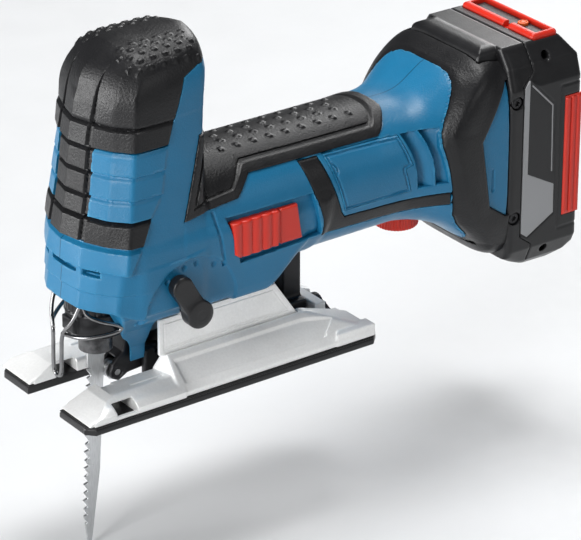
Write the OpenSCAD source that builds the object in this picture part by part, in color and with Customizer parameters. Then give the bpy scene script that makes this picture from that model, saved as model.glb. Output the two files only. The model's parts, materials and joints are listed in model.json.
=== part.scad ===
// Cordless body-grip jigsaw with a tilting foot plate and a slide-on battery pack.
// Frame: origin where the blade passes through the underside of the sole.
// +X points back towards the battery, +Y to the right-hand side, +Z up.

/* [Foot] */
// Length of the foot plate
foot_len = 160; // [140:1:170]
// Half width of the foot plate
foot_half_w = 38; // [34:1:42]
// Front edge of the foot plate
foot_front_x = -28.5; // [-34:0.5:-24]
// Half width of the open blade slot
slot_half_w = 13.5; // [13:0.5:15]
// Thickness of the plastic sliding shoe
shoe_t = 4.3; // [3:0.1:5]
// Height of the rail ridge over the work
ridge_z = 20; // [17:0.5:21]
// Height of the bevel axis over the work
bevel_z = 8; // [7:0.5:9]

/* [Head] */
// Half width of the head
head_half_w = 32; // [30:0.5:34]
// Top of the head
head_top = 173; // [165:1:180]
// Wall thickness of the housing
wall = 3; // [2:0.1:3.5]
// Thickness of the soft overmould
soft_t = 1.4; // [1:0.1:1.8]

/* [Barrel] */
// Height of the barrel axis, which is the motor axis
barrel_z = 77; // [75:1:80]
// Half width of the barrel
barrel_half_w = 31; // [29:0.5:33]
// Half height of the barrel
barrel_half_h = 33; // [31:0.5:35]

/* [Tail and battery] */
// Half width of the tail
tail_half_w = 37; // [35:0.5:39]
// Plane where the battery meets the tail
tail_end_x = 209; // [205:1:214]
// Lowest point of the battery pack
pack_bottom = 8; // [5:1:12]
// Highest point of the battery pack
pack_top = 125; // [120:1:130]
// Thickness of the battery pack behind the tail
pack_t = 43.5; // [40:0.5:48]

/* [Drive] */
// Stroke of the plunger
stroke = 23; // [18:1:26]
// Height of the drive gear's axis
gear_z = 97; // [97:1:97]
// Gear module
gear_module = 0.8; // [0.8:0.1:0.8]
// Teeth on the drive gear
gear_teeth = 41; // [41:1:41]
// Teeth on the motor pinion
pinion_teeth = 9; // [9:1:9]
// Radius of the plunger rod
rod_r = 5; // [4.6:0.1:5.5]
// Length of the saw blade from clamp to tip
blade_len = 102; // [80:1:110]
// Radius of the plunger rod above its yoke
upper_rod_r = 4; // [3.5:0.1:4.5]
// Radial gap of a running fit
run_gap = 0.04; // [0.02:0.01:0.1]

/* [Hidden] */

eps = 0.05;
split_gap = 0.02;
foot_rear_x = foot_front_x + foot_len;
crank_r = stroke / 2;
crank_z = gear_z - crank_r;
barrel_rear_x = 160;
pack_rear_x = tail_end_x + pack_t;
blue = "#1f6a98";
black = "#1d1d1f";
red = "#d8260f";
alloy = "#d6d6d4";
steel = "#a9abae";

// ---------- helpers ----------

// Unit vector along v
function unit(v) = v / norm(v);

// Closed outline p, counter-clockwise, moved inwards by t
function inset(p, t) = let (n = len(p)) [
  for (i = [0 : n - 1])
    let (
      u = unit(p[i] - p[(i + n - 1) % n]),
      v = unit(p[(i + 1) % n] - p[i]),
      a = [-u.y, u.x],
      b = [-v.y, v.x]
    )
    p[i] + t * (a + b) / (1 + a * b)
];

// Points of a superellipse with half axes a and b
function superellipse(a, b, power, count) = [
  for (i = [0 : count - 1])
    let (
      ang = 360 * (i + 0.5) / count,
      c = cos(ang),
      s = sin(ang)
    )
    [a * sign(c) * pow(abs(c), 2 / power), b * sign(s) * pow(abs(s), 2 / power)]
];

// Mirror image of a list of [y, z] points that runs up the right side
function both_sides(p) = concat(p, [for (i = [len(p) - 1 : -1 : 0]) [-p[i].x, p[i].y]]);

// Prism across the tool: outline in X and Z, from y0 to y1
module across(outline, y0, y1) {
  translate([0, y1, 0]) rotate([90, 0, 0]) linear_extrude(height = y1 - y0) polygon(outline);
}

// Prism along the tool: outline in Y and Z, from x0 to x1
module along(outline, x0, x1) {
  translate([x0, 0, 0]) rotate([90, 0, 90]) linear_extrude(height = x1 - x0) polygon(outline);
}

// Box from corner a to corner b
module block(a, b) {
  translate(a) cube(b - a);
}

// Cylinder along X between x0 and x1 with its axis at y, z
module rod_x(r, x0, x1, y, z) {
  translate([x0, y, z]) rotate([0, 90, 0]) cylinder(r = r, h = x1 - x0, $fn = 48);
}

// Cylinder along Y between y0 and y1 with its axis at x, z
module rod_y(r, y0, y1, x, z) {
  translate([x, y0, z]) rotate([-90, 0, 0]) cylinder(r = r, h = y1 - y0, $fn = 48);
}

// Cylinder along Z between z0 and z1 with its axis at x, y
module rod_z(r, z0, z1, x, y) {
  translate([x, y, z0]) cylinder(r = r, h = z1 - z0, $fn = 48);
}

// Shape and its mirror image across the middle plane
module both() {
  children();
  mirror([0, 1, 0]) children();
}

// ---------- outer form of the housing ----------

// Head seen from the side
head_side = [
  [-17, 50], [43, 50], [43, 124], [41, 160], [37.5, 168], [31, head_top], [17, head_top],
  [6, 170], [0.2, 164.5], [-4.2, 155.5], [-7.2, 146], [-9.3, 138], [-12.2, 116],
  [-14.5, 97], [-17.5, 86], [-18.5, 78], [-17.5, 66]
];
// Head seen from above
head_plan = [
  [-18.6, 0], [-15.5, -12], [-11.5, -23], [-5, -head_half_w + 0.8], [2, -head_half_w],
  [30, -head_half_w], [39, -28.5], [43, -22], [43, 22], [39, 28.5], [30, head_half_w],
  [2, head_half_w], [-5, head_half_w - 0.8], [-11.5, 23], [-15.5, 12]
];
// Head seen from the front, which rounds the cap
head_front = both_sides([
  [head_half_w, 50], [head_half_w, 147], [30, 156], [25, 164.5], [17, 170], [8, head_top]
]);
// Lower body seen from the side
belly_side = [[6, 40], [84, 40], [90, 43.5], [97, 47.5], [104, 49], [104, 78], [6, 78]];
// Lower body seen from the front
belly_front = both_sides([[29, 40], [30.5, 46], [31, 62], [31, 78]]);
// Blade shroud seen from the front, narrow enough for the foot to tilt past it
shroud_front = both_sides([[9, 14], [10, 22], [17, 34], [29, 47], [31, 56]]);
// Tail seen from the side
tail_side = [
  [140, 47], [178, 40.5], [190, 34.5], [202, 25.5], [tail_end_x, 21.5], [tail_end_x, 118],
  [204, 122], [188, 122], [176, 119.5], [166, 115], [156, 111.5], [140, 109]
];
// Tail seen from above
tail_plan = [
  [140, -barrel_half_w], [160, -31.5], [172, -34], [182, -tail_half_w],
  [tail_end_x, -tail_half_w], [tail_end_x, tail_half_w], [182, tail_half_w],
  [172, 34], [160, 31.5], [140, barrel_half_w]
];
// Tail seen from behind
tail_back = both_sides([
  [20, 21], [29, 26], [tail_half_w, 36], [tail_half_w, 105], [33, 116], [25, 122]
]);

module head_form(t) {
  intersection() {
    across(inset(head_side, t), -40, 40);
    translate([0, 0, 40]) linear_extrude(height = 140) polygon(inset(head_plan, t));
    along(inset(head_front, t), -40, 60);
  }
}

module barrel_form(t) {
  translate([0, 0, barrel_z])
    along(superellipse(barrel_half_w - t, barrel_half_h - t, 2.35, 40), 30, barrel_rear_x);
}

module belly_form(t) {
  intersection() {
    across(inset(belly_side, t), -40, 40);
    along(inset(belly_front, t), 0, 110);
  }
}

// Slanting cuts that blend the tail's corners into the round barrel
tail_blend = 26;

module tail_form(t) {
  difference() {
    intersection() {
      across(inset(tail_side, t), -45, 45);
      translate([0, 0, 10]) linear_extrude(height = 130) polygon(inset(tail_plan, t));
      along(inset(tail_back, t), 120, 240);
    }
    both() {
      translate([140, -0.77 * t, 90 - 0.64 * t]) rotate([0, -tail_blend, 0])
        along([[30, 0], [60, -36], [60, 40], [-3.3, 40]], -30, 90);
      translate([140, -0.77 * t, 63 + 0.64 * t]) rotate([0, tail_blend, 0])
        along([[30, 0], [-3.3, -40], [60, -40], [60, 36]], -30, 90);
    }
  }
}

// Whole outer form, moved inwards by t
module body_form(t) {
  union() {
    head_form(t);
    barrel_form(t);
    belly_form(t);
    tail_form(t);
  }
}

// ---------- soft zones ----------

// Side view of the soft cap and nose of the head
cap_side = [
  [-30, 137], [2, 137], [28, 141], [32, 166], [50, 166], [50, 190], [-30, 190]
];
band_low_side = [[-30, 82], [9, 84], [22, 89], [24, 96], [8, 94], [-30, 92.5]];
band_mid_side = [[-30, 126], [6, 124], [23, 127], [27, 141], [2, 137], [-30, 137]];

module head_zone() {
  across(cap_side, -45, 45);
  across(band_mid_side, -45, 45);
  across(band_low_side, -45, 45);
  block([-30, -12, 82], [-4, 12, 140]);
}

// Side view of the soft grip on the barrel
grip_side = [
  [43.2, 88], [60, 91], [67, 101.5], [136, 101], [139, 107], [139, 130], [43.2, 130]
];

module grip_zone() {
  across(grip_side, -45, 45);
}

// Side view of the band behind the switch and of the long band under the panel
strap_side = [[93, 101.4], [103, 101.4], [116, 68], [105, 68]];
long_band_side = [[105, 66], [182, 64], [182, 57], [105, 59]];

module band_zone() {
  across(strap_side, -45, 45);
  across(long_band_side, -45, 45);
}

// Side view of the bumper that wraps the tail
bumper_side = [
  [160, 112], [174, 113.5], [181, 106], [178, 92], [173.5, 84], [176, 66], [180, 48],
  [188, 30], [222, 10], [222, 40], [208, 45], [198, 52], [193, 86], [tail_end_x - 0.5, 113],
  [222, 118], [222, 130], [160, 130]
];

module bumper_zone() {
  across(bumper_side, -45, 45);
}

// Shape left of a soft zone, one soft layer deep
module soft_skin() {
  difference() {
    intersection() {
      body_form(0);
      children();
    }
    body_form(soft_t);
  }
}

// ---------- housing ----------

// Room for the cradle walls when the foot tilts
module cradle_room() {
  block([18.5, -22.6, 0], [101, 22.6, 45]);
  rod_x(37.4, 18.5, 99, 0, bevel_z);
}

// Shroud around the plunger's lower end
module shroud() {
  difference() {
    intersection() {
      along(shroud_front, -6, 20.5);
      across([[11, 14], [20.5, 14], [20.5, 54.6], [-6, 54.6], [-6, 52], [3, 36]], -40, 40);
    }
    block([-20, -6.5, 0], [21, 6.5, 60]);
    rod_z(15.4, 10, 60, 0, 0);
  }
}

// Screw bosses: place seen from the side and half length
screw_spots = [[40, 53, 27], [132, 62, 26], [188, 100, 34], [180, 51, 33]];
screw_r = 1.6;
screw_head_r = 2.7;

// Bosses that take the housing screws, with a wall behind the battery rails
module screw_bosses() {
  intersection() {
    union() {
      for (p = screw_spots) rod_y(4.2, -p.z, p.z, p.x, p.y);
      difference() {
        block([193.5, -40, 20], [198, 40, 124]);
        block([190, -19.4, 43.6], [200, 19.4, 76.4]);
      }
    }
    body_form(soft_t + 0.4);
  }
}

// Slots and windows that cut through both halves
module housing_openings() {
  both() {
    block([51.5, 27.6, 61], [101.5, 45, 82]);
    block([60, 20, 64.5], [88.5, 45, 75.5]);
  }
  rod_y(4 + run_gap, -45, -26, lever_x, lever_z);
  rod_y(6.4, -27, -20, lever_x, lever_z);
  rod_y(2, -9.6, 9.6, pivot_x, pivot_z);
  block([101.9, -4.1, 40], [112.1, 4.1, 52]);
  rod_z(11, 20, 48, 171, 0);
  rod_z(14.6, 30, 60, 0, 0);
  difference() {
    block([197, -27, 28], [tail_end_x + 1, 27, 140]);
    both() block([201.6, 24.2, 28], [203.4, 28, 110]);
  }
  both() for (i = [0 : 2]) {
    across([[157 + 6 * i, 96], [160 + 6 * i, 96], [164 + 6 * i, 72], [161 + 6 * i, 72]], -45, -25);
  }
}

module housing_shell() {
  difference() {
    union() {
      difference() {
        body_form(0);
        difference() {
          union() {
            head_zone();
            grip_zone();
            band_zone();
            bumper_zone();
          }
          body_form(soft_t);
        }
        difference() {
          body_form(wall + soft_t);
          cradle_ceiling();
        }
      }
      shroud();
      screw_bosses();
    }
    for (p = screw_spots) {
      rod_y(screw_r, -12, 17, p.x, p.y);
      rod_y(screw_head_r + 0.4, 17, 45, p.x, p.y);
    }
    housing_openings();
    plunger_room();
    cradle_room();
    panel_recess();
  }
}

// Pocket in the front wall that the plunger's top rises past
module plunger_room() {
  intersection() {
    rod_z(upper_rod_r + 0.6, rod_top - 5, rod_top + stroke + 2, 0, 0);
    body_form(2.2);
  }
}

// Floor of the housing over the cradle room
module cradle_ceiling() {
  block([16, -24, 40], [104, 24, 47.6]);
  rod_x(39.6, 16, 102, 0, bevel_z);
}

module panel_recess() {
  both() block([108, -33, 69.5], [149, -barrel_half_w + 1.2, 99]);
}

module housing_left() {
  color(blue) intersection() {
    housing_shell();
    block([-60, -60, 0], [260, -split_gap, 200]);
  }
}

module housing_right() {
  color(blue) intersection() {
    housing_shell();
    block([-60, split_gap, 0], [260, 60, 200]);
  }
}

module head_grip() {
  color(black) soft_skin() head_zone();
}

module barrel_grip() {
  color(black) soft_skin() grip_zone();
}

module side_bands() {
  color(black) difference() {
    soft_skin() band_zone();
    panel_recess();
    grip_zone();
    bumper_zone();
    block([80, -40, 0], [104.9, 40, 66.5]);
  }
}

module tail_bumper() {
  color(black) difference() {
    soft_skin() bumper_zone();
    block([197, -27, 28], [tail_end_x + 1, 27, 140]);
  }
}

module name_panels() {
  color(blue) both() intersection() {
    block([108.1, -33, 69.6], [148.9, -barrel_half_w + 1.2, 98.9]);
    barrel_form(0);
  }
}

housing_left();
housing_right();
head_grip();
barrel_grip();
side_bands();
tail_bumper();
name_panels();

// ---------- fasteners of the housing ----------

module housing_screws() {
  color(steel) for (p = screw_spots) {
    rod_y(screw_head_r, 17, 19.6, p.x, p.y);
    rod_y(screw_r, -12, 17, p.x, p.y);
  }
}

// ---------- gearbox and drive ----------

rail_in = 20.5;
rail_out = 24;
plate_x0 = 30;
plate_x1 = 34;
bush_low = [55, 62];
bush_high = [116, 122];
bush_r = 8;
upper_bush_r = 6.6;
shaft_r = 5;
rotor_shaft_r = 3;
rotor_tip_r = 1.6;
bearing_r = 8;

module gearbox() {
  color(alloy) difference() {
    union() {
      block([plate_x0, -rail_in, 60], [plate_x1, rail_in, bush_high[1]]);
      both() block([2, rail_in, bush_low[0]], [plate_x1, rail_out, bush_high[1]]);
      block([-7, -rail_in, bush_low[0]], [10, rail_in, bush_low[1]]);
      block([-5.5, -12, bush_high[0]], [10, 12, bush_high[1]]);
      block([2, -rail_in, bush_high[0]], [10, rail_in, bush_high[1]]);
    }
    rod_z(bush_r, 50, 70, 0, 0);
    rod_z(upper_bush_r, 110, 130, 0, 0);
    rod_x(bearing_r, plate_x0 - 1, plate_x1 + 1, 0, barrel_z);
    rod_x(shaft_r, plate_x0 - 1, plate_x1 + 1, 0, gear_z);
  }
}

module plunger_bushes() {
  color("#8d8f92") {
    difference() {
      rod_z(bush_r, bush_low[0], bush_low[1], 0, 0);
      rod_z(rod_r + run_gap, bush_low[0] - 1, bush_low[1] + 1, 0, 0);
    }
    difference() {
      rod_z(upper_bush_r, bush_high[0], bush_high[1], 0, 0);
      rod_z(upper_rod_r + run_gap, bush_high[0] - 1, bush_high[1] + 1, 0, 0);
    }
  }
}

module gear_shaft() {
  color(steel) {
    rod_x(shaft_r, 16.4, plate_x1, 0, gear_z);
    rod_x(shaft_r + 1.4, 15.2, 16.4, 0, gear_z);
  }
}

// Radians subtended by the involute at radius r from base radius rb
function inv_deg(rb, r) = let (a = acos(rb / r)) 180 / PI * tan(a) - a;

// Outline of an involute gear, first tooth centred on angle phase
function gear_points(teeth, tip, root, phase) = let (
    rp = gear_module * teeth / 2,
    rb = rp * cos(20),
    half = 90 / teeth * 0.93 + inv_deg(rb, rp),
    low = max(rb, root),
    radii = [for (k = [0 : 3]) low + (tip - low) * k / 3],
    side = [for (r = radii) [r, half - inv_deg(rb, r)]],
    tooth = concat(
      [[root, half]],
      side,
      [for (k = [3 : -1 : 0]) [side[k][0], -side[k][1]]],
      [[root, -half]]
    )
  ) [
    for (i = [0 : teeth - 1], q = tooth)
      let (ang = phase + 360 * i / teeth - q[1]) q[0] * [cos(ang), sin(ang)]
  ];

module drive_gear() {
  pitch_r = gear_module * gear_teeth / 2;
  color(steel) difference() {
    union() {
      translate([0, 0, gear_z]) difference() {
        along(gear_points(gear_teeth, pitch_r + 0.6, pitch_r - 1, -90), 17, 24);
        for (i = [0 : 5]) rotate([60 * i + 30, 0, 0]) rod_x(2.6, 16, 25, 0, 10.4);
      }
      rod_x(3, 12.2, 17.5, 0, crank_z);
      rod_x(4.6, 15.8, 17, 0, crank_z);
    }
    rod_x(shaft_r + run_gap, 16, 25, 0, gear_z);
  }
}

module crank_roller() {
  color("#c8b27a") difference() {
    rod_x(4, 12.4, 15.7, 0, crank_z);
    rod_x(3, 12, 16, 0, crank_z);
  }
}

module counterweight() {
  color("#77797c") difference() {
    block([25.3, -17, 90], [29.3, 17, 124]);
    block([25, -5.6, 89], [30, 5.6, 115]);
    both() rod_x(2.4, 25, 30, 11.5, 118);
  }
}

// ---------- motor ----------

module motor_can() {
  color(steel) difference() {
    union() {
      rod_x(20.5, 62, 112, 0, barrel_z);
      rod_x(20.5, 60, 62, 0, barrel_z);
    }
    rod_x(19, 62, 113, 0, barrel_z);
    rod_x(14.5, 59, 63, 0, barrel_z);
  }
}

module motor_magnets() {
  color("#3c3c40") difference() {
    rod_x(18.95, 66, 104, 0, barrel_z);
    rod_x(13.1, 65, 105, 0, barrel_z);
    block([65, -3, 40], [105, 3, 110]);
  }
}

module motor_end_cap() {
  color(black) difference() {
    rod_x(20.5, 112, 127, 0, barrel_z);
    rod_x(17, 111, 121, 0, barrel_z);
    rod_x(bearing_r, 120, 128, 0, barrel_z);
  }
}

module motor_bearings() {
  color("#b9bbbe") for (x = [plate_x0, 121.5]) difference() {
    rod_x(bearing_r, x, x + 4, 0, barrel_z);
    rod_x(rotor_shaft_r + run_gap, x - 1, x + 5, 0, barrel_z);
  }
}

module rotor() {
  color("#8f6a3a") {
    difference() {
      rod_x(12.6, 66, 104, 0, barrel_z);
      translate([0, 0, barrel_z]) for (i = [0 : 9]) rotate([36 * i, 0, 0])
        block([65, -0.9, 7.5], [105, 0.9, 14]);
    }
    rod_x(10.5, 60.5, 66, 0, barrel_z);
    rod_x(10.5, 104, 108, 0, barrel_z);
    rod_x(7, 108, 118, 0, barrel_z);
    rod_x(rotor_shaft_r, 29.6, 126, 0, barrel_z);
    rod_x(rotor_tip_r, 16.2, 29.6, 0, barrel_z);
  }
}

module pinion() {
  pitch_r = gear_module * pinion_teeth / 2;
  color(steel) difference() {
    union() {
      translate([0, 0, barrel_z])
        along(gear_points(pinion_teeth, pitch_r + 0.65, pitch_r - 1, 90 + 180 / pinion_teeth), 16.4, 24.6);
      rod_x(4.2, 24.6, 29.6, 0, barrel_z);
    }
    rod_x(rotor_tip_r, 16, 30, 0, barrel_z);
  }
}

module fan() {
  color(black) difference() {
    union() {
      rod_x(7, 45, 55, 0, barrel_z);
      rod_x(22, 45, 46.4, 0, barrel_z);
      translate([0, 0, barrel_z]) for (i = [0 : 12]) rotate([360 / 13 * i, 0, 0])
        block([46, -0.7, 6], [54, 0.7, 21.5]);
    }
    rod_x(rotor_shaft_r, 44, 56, 0, barrel_z);
  }
}

module brushes() {
  color("#2a2a2c") both() block([110, 7.3, barrel_z - 3], [116, 15.5, barrel_z + 3]);
}

// ---------- controls ----------

module switch_module() {
  color("#2e3033") block([87, -10, 51.2], [97, 10, 56]);
}

// Ribbed cap of the slide switch seen from above
switch_cap = [
  [52.2, 28.2], [93.6, 28.2], [93.6, 31.4], [79, 31.4], [76, 33.2], [73, 32.2], [70, 33],
  [67, 31.8], [64.5, 32.8], [62, 31.7], [59.5, 32.8], [57, 32.2], [54.5, 33.4], [52.2, 32]
];

module switch_slider() {
  color(red) {
    both() {
      translate([0, 0, 62.2]) linear_extrude(height = 18.6) polygon(switch_cap);
      block([62, 23.6, 66], [80, 28.3, 74]);
      block([62, 23.6, 49.6], [80, 26.1, 74]);
    }
    block([62, -26.1, 49.6], [80, 26.1, 52]);
  }
}

module electronics() {
  color("#2c5a3c") block([137, -20, 58], [184, 20, 60]);
  color("#55585c") {
    block([139, -18, 60], [160, 18, 74]);
    for (i = [0 : 4]) block([139, -16 + 7 * i, 74], [160, -13 + 7 * i, 84]);
    rod_z(6, 60, 78, 172, -8);
    rod_z(6, 60, 78, 172, 8);
    rod_z(4, 51, 58, 171, 0);
  }
}

// Outline of the ribbed rim of the speed dial
dial_rim = [
  for (i = [0 : 71])
    let (a = 5 * i, r = 10.2 + (i % 2 == 0 ? 0.45 : 0)) [r * cos(a), r * sin(a)]
];

module speed_dial() {
  color(red) translate([171, 0, 0]) {
    translate([0, 0, 37.3]) linear_extrude(height = 8) polygon(dial_rim);
    rod_z(3, 45.3, 50.6, 0, 0);
  }
}

module terminal_block() {
  color(black) block([187, -19, 44], [196.8, 19, 76]);
  color("#c9a24a") for (i = [-2 : 2]) block([196.8, 7 * i - 0.5, 48], [203, 7 * i + 0.5, 70]);
}

// ---------- plunger and blade ----------

rod_bottom = 28;
rod_top = 123;
clamp_low = 22;
clamp_high = 31.4;
clamp_r = 7.8;
yoke_half_h = 6.8;

module plunger() {
  color(steel) difference() {
    union() {
      rod_z(rod_r, rod_bottom, crank_z, 0, 0);
      rod_z(upper_rod_r, crank_z, rod_top, 0, 0);
      block([3.2, -18.6, crank_z - yoke_half_h], [11.6, 18.6, crank_z + yoke_half_h]);
    }
    block([6, -16, crank_z - 4.3], [12, 16, crank_z + 4.3]);
  }
}

lean = 3.9;
blade_t = 1.4;
blade_top_x = 4.5;
tooth_pitch = 5.2;
tooth_depth = 2.6;
blade_w = 9;
tooth_count = floor((blade_len - 16) / tooth_pitch);

// Outline of the blade hanging down from its clamp, teeth to the front
blade_outline = concat(
  [[0, 5.6], [-blade_w + 1.5, 5.6], [-blade_w, 3.6], [-blade_w, -10]],
  [
    for (i = [0 : tooth_count - 1], k = [0 : 1])
      let (v = -10 - tooth_pitch * i)
      k == 0 ? [-blade_w + tooth_depth, v - 0.8] : [-blade_w + i * 0.1, v - tooth_pitch]
  ],
  [
    [-blade_w + 3, -10 - tooth_pitch * tooth_count - 2], [-4.8, -blade_len],
    [-3.2, -blade_len], [0, -blade_len * 0.62]
  ]
);

module blade_solid(grow) {
  translate([blade_top_x, 0, clamp_low]) rotate([0, lean, 0])
    across(grow > 0 ? inset(blade_outline, -grow) : blade_outline, -blade_t / 2 - grow, blade_t / 2 + grow);
}

module blade() {
  color("#b8bbbe") blade_solid(0);
}

module blade_clamp() {
  color(black) difference() {
    rod_z(clamp_r, clamp_low, clamp_high, 0, 0);
    rod_z(rod_r, rod_bottom, clamp_high + 1, 0, 0);
    translate([0, 0, 0]) block([-5.4, -blade_t / 2, clamp_low - 1], [5.4, blade_t / 2, rod_bottom]);
    blade_solid(0);
  }
}

ring_r = 14;

module clamp_ring() {
  color(black) difference() {
    union() {
      rod_z(ring_r, 31.6, 49.2, 0, 0);
      block([-ring_r - 0.6, -5, 34], [-ring_r + 2, 5, 41]);
    }
    rod_z(10.2, 30, 50, 0, 0);
  }
}

module ring_spring() {
  color(steel) for (i = [0 : 1]) translate([0, 0, 50.6 + 1.9 * i])
    rotate_extrude($fn = 48) translate([12.4, 0]) circle(r = 0.9, $fn = 16);
}

// Round wire of radius r through the points p
module wire(p, r) {
  for (i = [0 : len(p) - 2]) {
    d = p[i + 1] - p[i];
    translate(p[i]) rotate([0, acos(d.z / norm(d)), atan2(d.y, d.x)])
      cylinder(r = r, h = norm(d), $fn = 16);
    if (i > 0) translate(p[i]) sphere(r = 1.08 * r, $fn = 16);
  }
}

guard_leg = [[-20.6, 1.6, 14], [-20.6, 3.4, 16.2], [-20, 3.5, 36], [-17.5, 9, 43], [-14.5, 10.5, 50.4]];
guard_loop = [
  [-20, 3.5, 36], [-15.5, 12, 35.2], [-8, 18, 36.8], [-1, 21.4, 38.6], [0.4, 22, 40.2],
  [-1.4, 21.6, 42], [-8, 18.4, 44], [-13, 14, 46.6], [-13.6, 12, 50.4]
];

module wire_guard() {
  color("#4a4b4e") {
    wire([[-20.6, -1.6, 14], [-20.6, 1.6, 14]], 1);
    both() {
      wire(guard_leg, 1);
      translate(guard_leg[0]) sphere(r = 1.08, $fn = 16);
      wire(guard_loop, 1);
    }
  }
}

// ---------- orbital action ----------

pivot_x = 17;
pivot_z = 26;
roller_x = 8.2;
roller_z = 8.5;

module pendulum_arm() {
  color(black) difference() {
    across([
      [5.2, 6], [9, 3.6], [14, 6.4], [34, 8], [36, 13], [22, 17], [21, 26],
      [18.6, 30], [14.8, 29.8], [12.6, 26], [11.4, 18], [5.6, 12.4]
    ], -5, 5);
    block([0, -2.6, 0], [15.5, 2.6, 15]);
    rod_y(2 + run_gap, -6, 6, pivot_x, pivot_z);
    rod_y(1.5, -6, 6, roller_x, roller_z);
  }
}

module pendulum_pin() {
  color(steel) rod_y(2, -9.5, 9.5, pivot_x, pivot_z);
}

module roller_axle() {
  color(steel) rod_y(1.5, -5, 5, roller_x, roller_z);
}

module guide_roller() {
  color("#9a9c9f") difference() {
    rod_y(4.6, -2.2, 2.2, roller_x, roller_z);
    rod_y(1.5 + run_gap, -3, 3, roller_x, roller_z);
    difference() {
      rod_y(5, -1.1, 1.1, roller_x, roller_z);
      rod_y(3.9, -1.2, 1.2, roller_x, roller_z);
    }
  }
}

lever_x = 31.5;
lever_z = 44.5;
lever_len = 23;
lever_lean = 30;

module orbital_lever() {
  color(black) {
    rod_y(6.8, -39.5, -32.5, lever_x, lever_z);
    translate([lever_x, 0, lever_z]) rotate([0, -lever_lean, 0]) {
      block([-5.4, -39.5, 0], [5.4, -33, lever_len - 5.4]);
      rod_y(5.4, -39.5, -33, 0, lever_len - 5.4);
    }
    rod_y(4, -32.5, -26.8, lever_x, lever_z);
  }
}

module orbital_cam() {
  color(steel) {
    rod_y(5.6, -26.8, -23.2, lever_x + 0.4, lever_z);
  }
}

// ---------- bevel mount and foot ----------

web_x = [66, 72];
rear_web_x = [113, 119];
keel_half_w = 9;
keel_z = [2.6, 17.4];

module bevel_segment() {
  color(alloy) difference() {
    union() {
      block([20.6, -keel_half_w, keel_z[0]], [web_x[0] - 1.5, keel_half_w, keel_z[1]]);
      block([web_x[1] + 1.5, -keel_half_w, keel_z[0]], [rear_web_x[0] - 1, keel_half_w, keel_z[1]]);
      block([102, -4, keel_z[0]], [112, 4, 50]);
      block([100, -9, 49.6], [114, 9, 52]);
    }
    block([20, -5.8, 0], [50, 5.8, 20]);
    rod_x(3.5, 50, 85, 0, bevel_z);
    rod_x(3 + run_gap, 100, 115, 0, bevel_z);
  }
}

module bevel_pin() {
  color(steel) rod_x(3.5, 52, 80, 0, bevel_z);
}

// Section of the near rail, from the slot outwards
rail_section = [
  [slot_half_w, shoe_t], [foot_half_w - 0.5, shoe_t], [foot_half_w - 0.5, 7],
  [22.5, ridge_z], [18.3, ridge_z], [slot_half_w, 11]
];
// Rail seen from the side
rail_side = [
  [foot_front_x + 0.8, shoe_t], [foot_rear_x - 0.8, shoe_t], [foot_rear_x - 0.8, 8],
  [100, ridge_z + 0.5], [23, ridge_z + 0.5], [21.2, 10], [-16, 10], [foot_front_x + 0.8, 5.5]
];
guide_slot = [[-13, -2], [4.5, 9.1]];

module foot_plate() {
  color(alloy) difference() {
    union() {
      both() {
        intersection() {
          along(rail_section, foot_front_x, foot_rear_x);
          across(rail_side, 0, 50);
        }
      }
      block([109, -37.5, shoe_t], [foot_rear_x - 0.8, -31, 10.5]);
      block([web_x[0], -14, shoe_t], [web_x[1], 14, 13]);
      block([rear_web_x[0], -14, shoe_t], [rear_web_x[1], 14, 16]);
      block([rear_web_x[1], -14, shoe_t], [foot_rear_x - 0.8, 14, 6.4]);
    }
    both() along([[13, 7], [17.2, 10.2], [13, 10.2]], -40, 21.2);
    rod_x(3.5 + run_gap, web_x[0] - 1, web_x[1] + 1, 0, bevel_z);
    rod_x(3 + run_gap, rear_web_x[0] - 1, rear_web_x[1] + 1, 0, bevel_z);
    rod_x(6.4, rear_web_x[1], foot_rear_x + 1, 0, bevel_z);
    block([guide_slot[0][0], -50, guide_slot[1][0]], [guide_slot[0][1], 50, guide_slot[1][1]]);
  }
}

module cradle_walls() {
  color("#dcdcda") both()
    across([[21, ridge_z], [97.5, ridge_z], [85, 37.4], [21, 37.4]], 19, 20.8);
}

module sliding_shoe() {
  color(black) difference() {
    linear_extrude(height = shoe_t) polygon([
      [foot_front_x, -34], [foot_front_x + 4, -foot_half_w], [foot_rear_x - 6, -foot_half_w],
      [foot_rear_x, -32], [foot_rear_x, 32], [foot_rear_x - 6, foot_half_w],
      [foot_front_x + 4, foot_half_w], [foot_front_x, 34], [foot_front_x, slot_half_w],
      [rear_web_x[0], slot_half_w], [rear_web_x[0], -slot_half_w], [foot_front_x, -slot_half_w]
    ]);
    for (i = [0 : 5]) both()
      block([-18 + 22 * i, 20, -1], [-8 + 22 * i, 31, 0.6]);
    rod_x(6.4, rear_web_x[1], foot_rear_x + 1, 0, bevel_z);
  }
}

module clamp_screw() {
  color("#3a3b3d") difference() {
    union() {
      rod_x(3, 104, rear_web_x[1] + 0.4, 0, bevel_z);
      rod_x(5.6, rear_web_x[1] + 0.4, rear_web_x[1] + 5.5, 0, bevel_z);
    }
    translate([rear_web_x[1] + 2.5, 0, bevel_z]) rotate([0, 90, 0]) cylinder(r = 2.9, h = 4, $fn = 6);
  }
}

// ---------- battery pack ----------

pack_side = [
  [tail_end_x + 0.3, 16], [224, pack_bottom + 1], [242, pack_bottom + 1],
  [pack_rear_x, 19], [pack_rear_x, 115], [244.5, pack_top], [tail_end_x + 0.3, pack_top]
];
pack_back = both_sides([
  [26, pack_bottom + 1], [34, 16], [37.5, 24], [37.5, 106], [34, 116], [28, pack_top]
]);
seam_x = 223.5;
pack_wall = 2.4;
cell_r = 9.1;
cell_x = [222.4, 240.8];
cell_z = [for (i = [0 : 4]) 28 + 19 * i];
frame_x = [230, 245];
frame_half_w = 27;
frame_bar = 2.6;

module pack_form(t) {
  intersection() {
    across(inset(pack_side, t), -45, 45);
    along(inset(pack_back, t), 200, 260);
  }
}

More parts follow.
